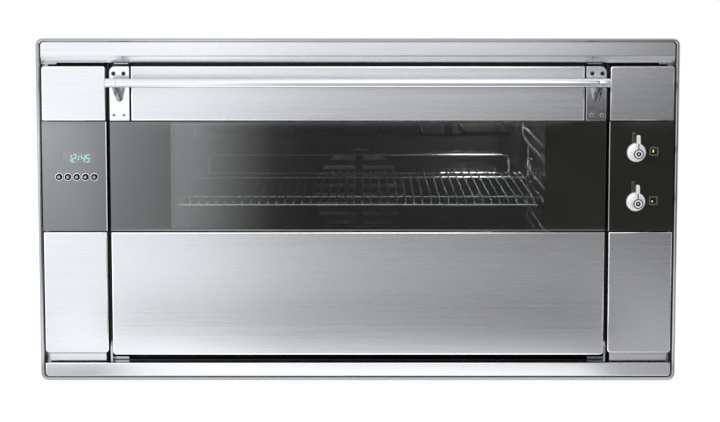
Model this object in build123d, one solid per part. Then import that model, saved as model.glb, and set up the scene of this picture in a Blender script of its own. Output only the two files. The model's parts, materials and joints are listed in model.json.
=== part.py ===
from build123d import *
import math
import os

# Built-in electric oven, 90 cm wide, with a drop-down door between two control columns.
# The front faces -Y, +X is to the right of somebody facing it, +Z is up, millimetres.
# The origin is under the middle of the whole oven, on the plane that it stands on.
# Depths are counted back from the front plane, where the door and column faces lie.

# Whole oven
overall_width = 895.0
overall_height = 482.0
handle_reach = 52.8
trim_depth = 22.0
body_depth = 545.0
screw_head_height = 3.0
front_y = handle_reach - (handle_reach + trim_depth + body_depth + screw_head_height) / 2
sheet = 1.2
thin_sheet = 1.0
folded_inner = sheet * (2 - math.sqrt(2))
full_turn = 360.0
half_turn = 180.0
quarter_turn = 90.0
running_fit = 0.05
moving_gap = 0.3
seated_gap = 0.1

# Flat sides of what is turned or drawn as wire, by how much of it shows
fine_sides = 28
round_sides = 16
small_sides = 12
wire_sides = 6
thin_wire_sides = 4
bar_sides = 8

# Trim frame with its rolled rim
rim_width = 4.3
rim_proud = 2.0
rim_back = 3.0
rim_round = 1.4
top_corner = 9.0
bottom_corner = 11.0
seat_width = 12.3
fixing_hole_radius = 2.25
fixing_x = 439.0
fixing_low_z = 90.0
fixing_high_z = 392.0

# Levels shared by the door and the columns
upper_panel_top = 443.5
upper_panel_bottom = 367.5
glass_top = 366.5
glass_bottom = 212.5
lower_panel_top = 211.0
door_bottom = 36.0
column_bottom = 38.8
face_depth = 4.0
glass_thickness = 4.0
panel_edge = 1.6
panel_corner = 5.0

# Columns beside the door
column_outer_x = 441.0
column_inner_x = 351.5
column_depth = trim_depth - sheet
plinth_inset = 4.0
plinth_depth = 9.0
plinth_bottom = 26.0
plinth_top = 37.4
plinth_groove = 3.0

# Top and bottom fascias
fascia_top = 477.0
fascia_bend = 459.0
fascia_bevel_depth = 5.0
fascia_lower = 449.0
bottom_fascia_top = 24.8
bottom_fascia_bottom = 5.9

# Clips under the top fascia
clip_height = 3.2
clip_depth = 7.0
outer_clip_width = 22.0
inner_clip_width = 23.0
inner_clip_x = 330.0

# Door recess
recess_x = 349.5
recess_bottom = 25.5
recess_top = 448.0
recess_depth = 44.8
air_slot_width = 44.0
air_slot_height = 7.0
air_slot_pitch = 56.0
air_slot_count = 11
air_slot_z = 437.0

# Casing
casing_x = 430.0
casing_top_z = 460.0
casing_flange = 12.0
upstand_inset = 60.0
top_vent_back = 130.0
vent_width = 6.0
vent_height = 46.0
vent_pitch = 26.0
vent_count = 8
cable_hole_radius = 10.0
cable_hole_x = 330.0
cable_hole_z = 434.0

# Cavity
cavity_x = 277.0
cavity_floor = 57.0
cavity_ceiling = 375.0
cavity_back_depth = 500.0
cavity_corner = 20.0
liner_wall = 1.0

# Seal round the mouth
seal_inner_gap = 9.0
seal_width = 8.0
seal_corner = 14.0

# Insulation
insulation_wall = 24.0
blanket_gap = 1.0
base_element_space = 8.0
motor_clearing = 38.4

# Fan behind its cover in the back of the cavity
fan_z = 209.0
cover_depth = 458.0
cover_half_width = 225.0
cover_bottom = 72.0
cover_top = 330.0
cover_corner = 14.0
grille_radius = 84.0
slot_pitch = 15.2
slot_height = 6.2
slot_bar = 9.0
grille_columns = 2
fan_radius = 74.0
fan_hub_radius = 12.0
fan_disc = 1.5
fan_front_depth = 466.0
fan_back_depth = 490.0
fan_hub_step = 6.0
blade_count = 12
blade_length = 34.0
blade_lean = 22.0
shaft_radius = 4.0
motor_radius = 34.0
motor_length = 40.0
motor_plate = 96.0

# Heating elements
element_radius = 3.3
ring_radius = 98.0
ring_depth = 478.0
ring_steps = 20
terminal_gap = 16.0
grill_z = 340.0
grill_half_width = 216.0
grill_front_depth = 104.0
grill_back_depth = 430.0
grill_fingers = 4
grill_turn = 14.0
grill_foot_x = 132.0
grill_foot_width = 12.0
grill_cross_reach = 6.0
base_half_width = 220.0
base_front_depth = 100.0
base_back_depth = 440.0

# Side racks and the wire shelf
rack_wire = 2.3
rack_x = 269.4
rack_outer_x = 273.6
rack_front_depth = 66.0
rack_back_depth = 436.0
rack_pair = 20.0
rack_splay = 14.0
rack_level = 60.5
rack_levels = 4
rack_lowest_z = 120.5
upright_depths = (84.0, 418.0)
rack_low_z = 84.0
rack_high_z = 352.0
rack_stud_inset = 12.0
shelf_level = 2
shelf_half_width = 270.0
shelf_front_depth = 57.0
shelf_length = 388.0
shelf_rim_radius = 2.5
shelf_wire_radius = 1.3
shelf_wires = 42
shelf_wire_pitch = 12.32
shelf_second_bar = 65.0
shelf_third_bar = 318.0
rail_half_width = 244.0
rail_rise = 22.0
rail_corner = 10.0
rail_radius = 2.0

# Lamp and thermostat probe
lamp_depth = 392.0
lamp_z = 262.0
lamp_radius = 17.0
lamp_hole_radius = 20.0
lamp_wall = 2.0
lamp_collar = 4.0
lamp_length = 34.0
lamp_well = 20.0
bulb_radius = 7.0
bulb_start = 3.0
bulb_length = 20.0
lens_radius = 24.0
lens_thickness = 4.0
lens_bevel = 2.5
probe_radius = 2.5
probe_length = 150.0
probe_z = 366.0
probe_x = 150.0
probe_start_depth = 288.0
probe_clip_depths = (308.0, 408.0)
probe_clip_width = 3.0
probe_clip_length = 8.0

# Door
door_x = 346.0
strip_x = 316.0
plate_width = 28.0
plate_corner = 8.0
frame_x = 343.0
frame_bottom = 39.0
frame_top = 441.0
frame_back_depth = 35.4
frame_heel = 6.0
window_x = 272.0
window_bottom = 76.0
window_top = 364.0
inner_opening_x = 281.0
inner_opening_bottom = 53.0
inner_opening_top = 379.0
inner_glass_x = 312.0
inner_glass_bottom = 46.0
inner_glass_top = 396.0

# Hinges
pivot_depth = 14.0
pivot_z = 45.5
pin_radius = 3.0
pin_inner_x = 330.0
cheek_inner_x = 346.8
cheek_top = 54.0
cheek_front_depth = 6.0
cheek_back_depth = 34.0
foot_front_depth = 24.0
foot_top = 29.0
foot_inner_x = 326.0
hinge_plate = 3.0
hinge_plate_height = 90.0
hinge_plate_corner = 10.0

# Handle
bar_radius = 7.0
bar_z = 423.0
cap_length = 16.0
cap_radius = 7.8
bar_depth = cap_radius - handle_reach
cap_bevel = 1.2
strut_x = 332.0
strut_foot_z = 395.0
strut_head_radius = 6.2
strut_foot_radius = 4.2

# Moulded carriers behind the two glasses
carrier_wall = 2.0

# Clock and its buttons
clock_x = -390.3
clock_z = 316.0
clock_width = 46.6
clock_height = 17.5
button_z = 288.8
button_row_shift = 2.8
button_pitch = 12.3
button_count = 5
button_radius = 4.7
button_hole_radius = 5.0
button_proud = 3.2
button_stem_depth = 13.0
button_crown = 2.0
clock_box_inner_x = 365.0
clock_box_outer_x = 427.0
clock_box_depth = 56.0
clock_box_low_z = 250.0
clock_box_high_z = 346.0

# Knobs
knob_x = 388.7
upper_knob_z = 323.3
lower_knob_z = 254.0
skirt_radius = 13.3
skirt_height = 6.0
skirt_bevel = 2.0
hub_radius = 6.6
hub_reach = 27.0
hub_bevel = 1.0
hub_root = 1.0
lever_reach = 26.0
lever_width = 4.8
lever_root_width = 5.8
lever_front_depth = -25.0
lever_back_depth = -17.0
spindle_radius = 3.0
spindle_back_depth = 34.0
spindle_hole_radius = 4.0
indicator_x = 413.3
indicator_size = 11.4
indicator_rise = 1.5
indicator_proud = 1.0
indicator_length = 9.0
switch_width = 36.0
switch_height = 42.0
switch_corner = 7.0
switch_back_depth = 52.0

# Cooling air duct and crossflow blower
duct_z = 404.0
duct_front_depth = 46.0
duct_back_depth = 560.0
rotor_radius = 22.0
rotor_length = 200.0
rotor_depth = 330.0
rotor_z = 432.0
rotor_axis = (rotor_depth, rotor_z)
rotor_blades = 12
rotor_disc = 1.5
rotor_blade_thickness = 0.8
rotor_blade_chord = 7.0
rotor_blade_lean = 30.0
rotor_blade_inset = 4.5
rotor_shaft_radius = 2.0
bearing_radius = 2.4
housing_radius = 25.5
housing_half_length = 106.0
housing_outlet = 69.0
intake_margin = 5.0
drive_hole_radius = 8.0
blower_motor_radius = 24.0
blower_motor_length = 44.0
blower_motor_gap = 2.0
blower_foot_inset = 6.0
blower_foot_half = 14.0

# Terminal block
terminal_x = 330.0
terminal_width = 60.0
terminal_height = 22.0
terminal_length = 30.0
terminal_depth = 516.0
terminal_ways = 5
terminal_groove = 2.0

# Casing screws
screw_head_radius = 4.2
screw_rows = 4
screw_edge = 9.0

# Windows in the chassis for what the columns carry
control_inner_x = 364.0
control_outer_x = 428.0
control_low_z = 226.0
control_high_z = 356.0


def front_plane(depth):
    """Plane parallel to the front, facing the viewer, at a depth behind the front plane."""
    return Plane(origin=(0, front_y + depth, 0), x_dir=(1, 0, 0), z_dir=(0, -1, 0))


def side_plane(x):
    """Plane across the oven at X, whose first axis is depth and whose second is height."""
    return Plane(origin=(x, front_y, 0), x_dir=(0, 1, 0), z_dir=(1, 0, 0))


def slab(outline, depth, thickness):
    """Outline seen from the front, extruded backwards from a depth."""
    return extrude(front_plane(depth) * outline, amount=-thickness)


def rectangle(x_low, x_high, z_low, z_high, radius=0.0):
    """Rectangle between limits, seen from the front, with rounded corners if asked."""
    width, height = x_high - x_low, z_high - z_low
    shape = RectangleRounded(width, height, radius) if radius else Rectangle(width, height)
    return Pos((x_low + x_high) / 2, (z_low + z_high) / 2) * shape


def block(x_low, x_high, depth_low, depth_high, z_low, z_high):
    """Straight-sided block between limits of X, depth and Z."""
    return slab(rectangle(x_low, x_high, z_low, z_high), depth_low, depth_high - depth_low)


def rod(x, depth, z, radius, length, axis):
    """Round rod from a point along +X or +Y."""
    turn = {"x": Rot(0, quarter_turn, 0), "y": Rot(-quarter_turn, 0, 0)}[axis]
    shape = Cylinder(radius, length, align=(Align.CENTER, Align.CENTER, Align.MIN))
    return Pos(x, front_y + depth, z) * turn * shape


def prism(x, depth, z, radius, length, axis, sides=round_sides):
    """Rod with a few flat sides from a point along +X or +Y, for what repeats or is hidden."""
    along = {"x": (1, 0, 0), "y": (0, 1, 0)}[axis]
    start = Plane(origin=(x, front_y + depth, z), z_dir=along)
    return extrude(start * RegularPolygon(radius, sides), amount=length)


def wire_run(start, end, radius, sides=wire_sides, flat_up=False):
    """Wire between two (x, depth, z) points with a few flat sides, turned flat side up if asked."""
    a = Vector(start[0], front_y + start[1], start[2])
    b = Vector(end[0], front_y + end[1], end[2])
    along = (b - a).normalized()
    across = Vector(0, 1, 0) if along == Vector(1, 0, 0) else Vector(1, 0, 0)
    turn = half_turn / sides if flat_up else 0
    profile = Plane(origin=a, x_dir=across, z_dir=along) * RegularPolygon(radius, sides, rotation=turn)
    return extrude(profile, amount=(b - a).length)


def bent_tube(points, radius, sides=wire_sides):
    """Tube with flat sides that follows straight runs through (x, depth, z) points."""
    route = [Vector(x, front_y + depth, z) for x, depth, z in points]
    path = Polyline(*route)
    profile = Plane(origin=path @ 0, z_dir=path % 0) * RegularPolygon(radius, sides)
    return sweep(profile, path=path, transition=Transition.RIGHT)


def mirrored(shape):
    """The shape and its mirror image across the middle of the oven."""
    return Compound(children=[shape, mirror(shape, about=Plane.YZ)])


def pressed_panel(x_low, x_high, z_low, z_high, depth, corners=()):
    """Sheet panel with folded edges, open behind; corners lists the (x, z) ones that are round."""
    body = block(x_low, x_high, 0, depth, z_low, z_high)
    for x, z in corners:
        edge = body.edges().filter_by(Axis.Y).sort_by_distance((x, front_y, z))[0]
        body = fillet(edge, panel_corner)
    front = body.faces().sort_by(Axis.Y)[0]
    body = chamfer(front.edges(), panel_edge)
    inset, wall = panel_edge + thin_sheet, thin_sheet
    hollow = block(x_low + wall, x_high - wall, inset, depth, z_low + wall, z_high - wall)
    for x, z in corners:
        edge = hollow.edges().filter_by(Axis.Y).sort_by_distance((x, front_y, z))[0]
        hollow = chamfer(edge, panel_corner / 2)
    floor = block(x_low + inset, x_high - inset, wall, inset, z_low + inset, z_high - inset)
    return body - hollow - floor


def trim_outline(inset):
    """Outer outline of the trim drawn in by an inset, with its own top and bottom corners."""
    half = overall_width / 2 - inset
    shape = rectangle(-half, half, inset, overall_height - inset)
    middle = overall_height / 2
    shape = fillet([v for v in shape.vertices() if v.Y > middle], top_corner - inset)
    lowest = [v for v in shape.vertices() if v.Y < inset + sheet]
    return fillet(lowest, bottom_corner - inset)


def make_front_trim():
    """Rolled rim, side wall and the flange that seats on the cabinet, in one pressing."""
    rim = slab(trim_outline(0) - trim_outline(rim_width), -rim_proud, rim_proud + rim_back)
    rim = chamfer(rim.faces().sort_by(Axis.Y)[0].edges(), rim_round)
    wall = slab(trim_outline(0) - trim_outline(sheet), rim_back, trim_depth - rim_back)
    seat = slab(trim_outline(sheet / 2) - chassis_outline(), column_depth, sheet)
    trim = rim + wall + seat
    for x in (-fixing_x, fixing_x):
        for z in (fixing_low_z, fixing_high_z):
            trim -= rod(x, column_depth - sheet, z, fixing_hole_radius, 3 * sheet, "y")
    return trim


def chassis_outline():
    """Outline of the chassis plate, inside the trim's seat flange."""
    half = overall_width / 2 - sheet - seat_width
    return rectangle(-half, half, sheet + seat_width, casing_top_z - sheet)


def make_front_chassis():
    """Flat plate behind the columns, cut out for the door recess and for the controls."""
    plate = slab(chassis_outline(), column_depth, sheet)
    plate -= block(
        -recess_x - sheet, recess_x + sheet, 0, trim_depth, recess_bottom - sheet, recess_top + sheet
    )
    window = block(control_inner_x, control_outer_x, 0, trim_depth, control_low_z, control_high_z)
    return plate - window - mirror(window, about=Plane.YZ)


def make_top_fascia():
    """Folded sheet: upright face, bevel, lower return and the clips that hold it."""
    outline = [
        (column_depth, fascia_top),
        (0, fascia_top),
        (0, fascia_bend),
        (fascia_bevel_depth, fascia_lower),
        (column_depth, fascia_lower),
    ]
    inner = [
        (column_depth, fascia_top - sheet),
        (sheet, fascia_top - sheet),
        (sheet, fascia_bend),
        (fascia_bevel_depth + sheet, fascia_lower + sheet),
        (column_depth, fascia_lower + sheet),
    ]
    profile = side_plane(-column_outer_x) * make_face(Polyline(*outline, *reversed(inner), close=True))
    fascia = extrude(profile, amount=2 * column_outer_x)
    ends = (column_outer_x - outer_clip_width, inner_clip_x - inner_clip_width / 2)
    for x, width in zip(ends, (outer_clip_width, inner_clip_width)):
        low, high = fascia_lower - clip_height, fascia_lower + sheet
        clip = block(x, x + width, clip_depth, clip_depth + sheet, low, high)
        fascia = fascia + clip + mirror(clip, about=Plane.YZ)
    return fascia & slab(trim_outline(rim_width + moving_gap), 0, trim_depth)


def make_bottom_fascia():
    """Folded sheet with returns above and below and rounded lower corners."""
    fascia = block(
        -column_outer_x, column_outer_x, 0, column_depth, bottom_fascia_bottom, bottom_fascia_top
    )
    lowest = fascia.edges().filter_by(Axis.Y).sort_by(Axis.Z)[:2]
    fascia = fillet(lowest, panel_corner)
    front = fascia.faces().sort_by(Axis.Y)[0]
    fascia = chamfer(front.edges(), thin_sheet)
    hollow = block(
        -column_outer_x + panel_corner,
        column_outer_x - panel_corner,
        sheet,
        column_depth,
        bottom_fascia_bottom + sheet,
        bottom_fascia_top - sheet,
    )
    return fascia - hollow


def make_plinth_strips():
    """Grooved strip under each column, set back from the panels."""
    strip = block(
        column_inner_x + plinth_inset,
        column_outer_x - plinth_inset,
        plinth_depth,
        column_depth,
        plinth_bottom,
        plinth_top,
    )
    groove = block(
        column_inner_x,
        column_outer_x,
        plinth_depth,
        plinth_depth + sheet,
        plinth_bottom + plinth_groove / 2,
        plinth_bottom + plinth_groove,
    )
    return mirrored(strip - groove)


def make_column_panels():
    """Upper and lower steel panels of both columns."""
    round_foot = [(column_inner_x, column_bottom), (column_outer_x, column_bottom)]
    upper = pressed_panel(
        column_inner_x, column_outer_x, upper_panel_bottom, upper_panel_top, column_depth
    )
    lower = pressed_panel(
        column_inner_x, column_outer_x, column_bottom, lower_panel_top, column_depth, round_foot
    )
    return {
        "right_upper_panel": upper,
        "right_lower_panel": lower,
        "left_upper_panel": mirror(upper, about=Plane.YZ),
        "left_lower_panel": mirror(lower, about=Plane.YZ),
    }


def make_clock_glass():
    """Glass of the left column with the clock's window and the button holes."""
    glass = block(-column_outer_x, -column_inner_x, 0, glass_thickness, glass_bottom, glass_top)
    glass -= slab(clock_outline(0), 0, glass_thickness)
    for x in button_places():
        glass -= prism(x, 0, button_z, button_hole_radius, glass_thickness, "y", small_sides)
    return glass


def clock_outline(inset):
    """Outline of the clock's window drawn in by an inset."""
    return Pos(clock_x, clock_z) * Rectangle(clock_width - 2 * inset, clock_height - 2 * inset)


def button_places():
    """X of each clock button, in a row centred under the clock's window."""
    first = clock_x - button_row_shift - (button_count - 1) / 2 * button_pitch
    return [first + i * button_pitch for i in range(button_count)]


def make_knob_glass():
    """Glass of the right column with two spindle holes and two indicator windows."""
    glass = block(column_inner_x, column_outer_x, 0, glass_thickness, glass_bottom, glass_top)
    for z in (upper_knob_z, lower_knob_z):
        glass -= prism(knob_x, 0, z, spindle_hole_radius, glass_thickness, "y", small_sides)
        glass -= slab(indicator_outline(z, 0), 0, glass_thickness)
    return glass


def indicator_outline(z, inset):
    """Square of the indicator beside the knob at a height, drawn in by an inset."""
    size = indicator_size - 2 * inset
    return Pos(indicator_x, z + indicator_rise) * Rectangle(size, size)


def open_carrier(x_low, x_high):
    """Shallow tray behind a column's glass, open towards the chassis."""
    wall = carrier_wall
    front, low, high = glass_thickness, glass_bottom + wall, glass_top - wall
    tray = block(x_low + wall, x_high - wall, front, column_depth, low, high)
    return tray - block(
        x_low + 2 * wall, x_high - 2 * wall, front + wall, column_depth, low + wall, high - wall
    )


def make_clock_module():
    """Moulded carrier behind the clock glass with the clock's circuit box at its back."""
    places = button_places()
    reach = button_radius + 2 * carrier_wall
    well_back = button_stem_depth + 3 * carrier_wall
    well = block(
        places[0] - reach, places[-1] + reach, glass_thickness, well_back, button_z - reach, button_z + reach
    )
    box = block(
        -clock_box_outer_x,
        -clock_box_inner_x,
        glass_thickness + carrier_wall,
        clock_box_depth,
        clock_box_low_z,
        clock_box_high_z,
    )
    return open_carrier(-column_outer_x, -column_inner_x) + box - well


def make_buttons():
    """Buttons with crowned tops, each a stem in its own hole of the glass."""
    buttons = {}
    for number, x in enumerate(button_places(), start=1):
        length = button_proud + button_stem_depth
        stem = prism(x, -button_proud, button_z, button_radius, length, "y", small_sides)
        top = stem.faces().sort_by(Axis.Y)[0]
        buttons[f"clock_button_{number}"] = chamfer(top.edges(), button_crown)
    return buttons


def make_switch_carrier():
    """Pressed carrier behind the knob glass, with holes for spindles and indicators."""
    carrier = open_carrier(column_inner_x, column_outer_x)
    for z in (upper_knob_z, lower_knob_z):
        carrier -= prism(knob_x, 0, z, 2 * spindle_radius, column_depth, "y", thin_wire_sides)
        carrier -= slab(indicator_outline(z, -moving_gap), 0, column_depth)
    return carrier


def make_switch(z):
    """Body of a rotary switch, seated behind its carrier, with the spindle's bearing in it."""
    x_low, x_high = knob_x - switch_width / 2, knob_x + switch_width / 2
    low, high = z - switch_height / 2, z + switch_height / 2
    front = glass_thickness + carrier_wall
    body = block(x_low, x_high, front, switch_back_depth, low, high)
    body = chamfer(body.edges().filter_by(Axis.Y), switch_corner)
    lens_side = indicator_x - indicator_size / 2 - indicator_rise
    body -= block(lens_side, x_high, front, column_depth, low, high)
    return body - rod(knob_x, 0, z, spindle_radius + running_fit, spindle_back_depth + moving_gap, "y")


def make_knob(z):
    """Turned knob: skirt on the glass, hub, tapered lever and the spindle that turns in the switch."""
    skirt = prism(knob_x, -skirt_height, z, skirt_radius, skirt_height - moving_gap, "y", fine_sides)
    skirt = chamfer(skirt.faces().sort_by(Axis.Y)[0].edges(), skirt_bevel)
    hub = prism(knob_x, -hub_reach, z, hub_radius, hub_reach - hub_root, "y")
    hub = chamfer(hub.faces().sort_by(Axis.Y)[0].edges(), hub_bevel)
    hub += prism(knob_x, -hub_root, z, spindle_radius, hub_root + spindle_back_depth, "y", small_sides)
    tip, root = lever_width / 2, lever_root_width / 2
    tip_z = z + lever_reach - tip
    lever_lines = [
        Line((knob_x - root, z), (knob_x - tip, tip_z)),
        RadiusArc((knob_x - tip, tip_z), (knob_x + tip, tip_z), tip),
        Line((knob_x + tip, tip_z), (knob_x + root, z)),
        Line((knob_x + root, z), (knob_x - root, z)),
    ]
    lever = slab(make_face(Wire(lever_lines)), lever_front_depth, lever_back_depth - lever_front_depth)
    return skirt + hub + lever


def make_indicator_lenses():
    """Square lens beside each knob, seated in the glass."""
    lenses = []
    for z in (upper_knob_z, lower_knob_z):
        lenses.append(slab(indicator_outline(z, seated_gap), -indicator_proud, indicator_length))
    return Compound(children=lenses)


def make_recess():
    """Pressed recess round the cavity mouth, with the cooling air slots above it."""
    outer = block(
        -recess_x - sheet,
        recess_x + sheet,
        column_depth,
        recess_depth + sheet,
        recess_bottom - sheet,
        recess_top + sheet,
    )
    inner = block(-recess_x, recess_x, column_depth, recess_depth, recess_bottom, recess_top)
    mouth = block(-cavity_x, cavity_x, recess_depth, recess_depth + sheet, cavity_floor, cavity_ceiling)
    recess = outer - inner - mouth
    for i in range(air_slot_count):
        x = (i - (air_slot_count - 1) / 2) * air_slot_pitch
        recess -= block(
            x - air_slot_width / 2,
            x + air_slot_width / 2,
            recess_depth,
            recess_depth + sheet,
            air_slot_z - air_slot_height / 2,
            air_slot_z + air_slot_height / 2,
        )
    return recess


def make_cavity_liner():
    """Wrapped liner: floor, ceiling and walls with round upright corners at the back."""
    front = recess_depth + sheet
    outer = block(
        -cavity_x - liner_wall,
        cavity_x + liner_wall,
        front,
        cavity_back_depth + liner_wall,
        cavity_floor - liner_wall,
        cavity_ceiling + liner_wall,
    )
    inner = block(-cavity_x, cavity_x, front, cavity_back_depth, cavity_floor, cavity_ceiling)
    outer = fillet(outer.edges().filter_by(Axis.Z).sort_by(Axis.Y)[-2:], cavity_corner + liner_wall)
    inner = fillet(inner.edges().filter_by(Axis.Z).sort_by(Axis.Y)[-2:], cavity_corner)
    liner = outer - inner
    through = 3 * liner_wall
    liner -= prism(0, cavity_back_depth - liner_wall, fan_z, 2 * shaft_radius, through, "y", small_sides)
    return liner - prism(cavity_x - liner_wall, lamp_depth, lamp_z, lamp_hole_radius, through, "x")


def make_door_seal():
    """Soft seal in a ring round the mouth, pressed lightly by the closed door."""
    half = cavity_x + seal_inner_gap
    low, high = cavity_floor - seal_inner_gap, cavity_ceiling + seal_inner_gap
    outer = rectangle(-half - seal_width, half + seal_width, low - seal_width, high + seal_width)
    outer = chamfer(outer.vertices(), seal_corner)
    inner = rectangle(-half, half, low, high)
    inner = chamfer(inner.vertices(), seal_corner - seal_width / 2)
    front = frame_back_depth + moving_gap
    return slab(outer - inner, front, recess_depth - front)


def make_insulation():
    """Blanket wrapped round the liner and its elements."""
    half = cavity_x + liner_wall + blanket_gap
    low = cavity_floor - liner_wall - base_element_space
    high = cavity_ceiling + liner_wall + blanket_gap
    front = recess_depth + sheet + blanket_gap
    back = cavity_back_depth + liner_wall + blanket_gap
    bottom = low - insulation_wall + base_element_space
    outer_half = half + insulation_wall
    blanket = block(-outer_half, outer_half, front, back + insulation_wall, bottom, high + insulation_wall)
    blanket -= block(-half, half, front, back, low, high)
    blanket -= prism(0, back, fan_z, 2 * motor_clearing, insulation_wall, "y", bar_sides)
    lamp_clearing = lamp_hole_radius + 2 * lamp_collar
    return blanket - prism(cavity_x, lamp_depth, lamp_z, lamp_clearing, 2 * insulation_wall, "x", bar_sides)


def make_fan_cover():
    """Pressed cover in front of the fan with rows of slots inside a circle and side outlets."""
    outer = slab(
        rectangle(-cover_half_width, cover_half_width, cover_bottom, cover_top, cover_corner),
        cover_depth,
        cavity_back_depth - cover_depth,
    )
    inner = slab(
        rectangle(
            -cover_half_width + sheet,
            cover_half_width - sheet,
            cover_bottom + sheet,
            cover_top - sheet,
            cover_corner - sheet,
        ),
        cover_depth + sheet,
        cavity_back_depth - cover_depth - sheet,
    )
    cover = outer - inner
    rows = int(grille_radius // slot_pitch)
    for row in range(-rows, rows + 1):
        z = fan_z + row * slot_pitch
        half_chord = math.sqrt(grille_radius**2 - (row * slot_pitch) ** 2)
        columns = grille_columns if half_chord > grille_radius / 2 else 1
        length = (2 * half_chord - (columns - 1) * slot_bar) / columns
        for column in range(columns):
            x = -half_chord + length / 2 + column * (length + slot_bar)
            cover -= slab(Pos(x, z) * slot_outline(length), cover_depth, sheet)
    outlet = block(
        cover_half_width - sheet,
        cover_half_width,
        cover_depth + cover_corner,
        cavity_back_depth - cover_corner,
        cover_bottom + 3 * cover_corner,
        cover_top - 3 * cover_corner,
    )
    return cover - outlet - mirror(outlet, about=Plane.YZ)


def slot_outline(length):
    """Slot with pointed ends."""
    tip, shoulder, half = length / 2, (length - slot_height) / 2, slot_height / 2
    right = [(shoulder, -half), (tip, 0), (shoulder, half)]
    left = [(-x, -z) for x, z in right]
    return make_face(Polyline(*right, *left, close=True))


def make_convection_fan():
    """Back plate, hub, shaft and a ring of leaning blades."""
    depth = fan_back_depth - fan_disc
    wheel = prism(0, depth, fan_z, fan_radius, fan_disc, "y")
    hub_front = fan_front_depth + fan_hub_step
    wheel += prism(0, hub_front, fan_z, fan_hub_radius, depth - hub_front, "y", small_sides)
    shaft_length = cavity_back_depth + liner_wall - moving_gap - depth
    wheel += prism(0, depth, fan_z, shaft_radius, shaft_length, "y", small_sides)
    blade = Pos(0, front_y + (fan_front_depth + depth) / 2, fan_radius - blade_length / 2) * Box(
        fan_disc, depth - fan_front_depth, blade_length
    )
    for i in range(blade_count):
        lean = Pos(0, 0, fan_radius) * Rot(0, blade_lean, 0) * Pos(0, 0, -fan_radius) * blade
        wheel += Pos(0, 0, fan_z) * Rot(0, i * full_turn / blade_count, 0) * lean
    return wheel


def make_fan_motor():
    """Square mounting plate and round motor behind the cavity."""
    half = motor_plate / 2
    depth = cavity_back_depth + liner_wall
    plate = block(-half, half, depth, depth + sheet, fan_z - half, fan_z + half)
    plate = chamfer(plate.edges().filter_by(Axis.Y), half / 3)
    return plate + prism(0, depth + sheet, fan_z, motor_radius, motor_length, "y", fine_sides)


def make_ring_element():
    """Ring element round the fan with two ends that pass to the back."""
    start = math.degrees(math.asin(terminal_gap / 2 / ring_radius))
    ring = []
    for i in range(ring_steps + 1):
        angle = math.radians(quarter_turn + start + i * (full_turn - 2 * start) / ring_steps)
        ring.append((ring_radius * math.cos(angle), ring_depth, fan_z + ring_radius * math.sin(angle)))
    back = cavity_back_depth
    ends = [(ring[0][0], back, ring[0][2])]
    return bent_tube(ends + ring + [(ring[-1][0], back, ring[-1][2])], element_radius)


def grill_route():
    """Serpentine under the ceiling with cut corners, from one end at the back to the other."""
    fingers = 2 * grill_fingers
    pitch = 2 * grill_half_width / (fingers - 1)
    wall_depth = cavity_back_depth - cavity_corner
    points = [(-grill_half_width, wall_depth, grill_z)]
    for i in range(fingers):
        x = -grill_half_width + i * pitch
        near, far = grill_back_depth, grill_front_depth
        if i % 2 == 1:
            near, far = far, near
        turn = math.copysign(grill_turn, near - far)
        if i > 0:
            points.append((x - grill_turn, near, grill_z))
            points.append((x, near - turn, grill_z))
        if i < fingers - 1:
            points.append((x, far + turn, grill_z))
            points.append((x + grill_turn, far, grill_z))
    return points + [(grill_half_width, wall_depth, grill_z)]


def make_grill_element():
    """Serpentine element with the cross wire that carries it and its two hanging feet."""
    under = grill_z - element_radius
    foot_depth = grill_front_depth + 2 * grill_turn
    x_low, x_high = grill_foot_x - grill_foot_width / 2, grill_foot_x + grill_foot_width / 2
    foot = block(x_low, x_high, foot_depth, foot_depth + sheet, under, cavity_ceiling)
    foot += block(x_low, x_high, foot_depth - 2 * rack_wire, foot_depth + sheet, under - rack_wire, under)
    reach = grill_half_width + grill_cross_reach
    cross_depth = foot_depth - rack_wire
    cross = wire_run((-reach, cross_depth, under), (reach, cross_depth, under), rack_wire)
    return bent_tube(grill_route(), element_radius) + cross + foot + mirror(foot, about=Plane.YZ)


def make_base_element():
    """Flat loop element under the cavity floor."""
    z = cavity_floor - liner_wall - element_radius - seated_gap
    points = [(-terminal_gap / 2, base_back_depth, z)]
    points += [(-base_half_width + grill_turn, base_back_depth, z)]
    points += [(-base_half_width, base_back_depth - grill_turn, z)]
    points += [(-base_half_width, base_front_depth + grill_turn, z)]
    points += [(-base_half_width + grill_turn, base_front_depth, z)]
    points += [(-x, depth, height) for x, depth, height in reversed(points)]
    return bent_tube(points, element_radius)


def make_side_rack():
    """Two uprights on wall studs, with pairs of runner wires that splay to the wall in front."""
    wires = []
    for depth in upright_depths:
        foot, head = (rack_outer_x, depth, rack_low_z), (rack_outer_x, depth, rack_high_z)
        wires.append(wire_run(foot, head, rack_wire))
        for z in (rack_low_z + rack_stud_inset, rack_high_z - rack_stud_inset):
            stud = (rack_outer_x, depth, z), (cavity_x, depth, z)
            wires.append(wire_run(*stud, rack_wire, thin_wire_sides))
    for level in range(rack_levels):
        low = rack_lowest_z + level * rack_level
        for z in (low, low + rack_pair):
            runner = [(rack_x, rack_back_depth, z), (rack_x, rack_front_depth + rack_splay, z)]
            nose = [(rack_outer_x, rack_front_depth, z)]
            wires.append(bent_tube(runner + nose, rack_wire, thin_wire_sides))
    return wires[0].fuse(*wires[1:])


def shelf_rim_route(z):
    """Rectangle with cut corners that the shelf's rim follows, from the middle of its front."""
    half = shelf_half_width - shelf_rim_radius
    front = shelf_front_depth + shelf_rim_radius
    back = shelf_front_depth + shelf_length - shelf_rim_radius
    cut = 4 * shelf_rim_radius
    right = [(half - cut, front, z), (half, front + cut, z), (half, back - cut, z), (half - cut, back, z)]
    left = [(-x, depth, z) for x, depth, z in reversed(right)]
    return [(0, front, z)] + right + left + [(0, front, z)]


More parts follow.
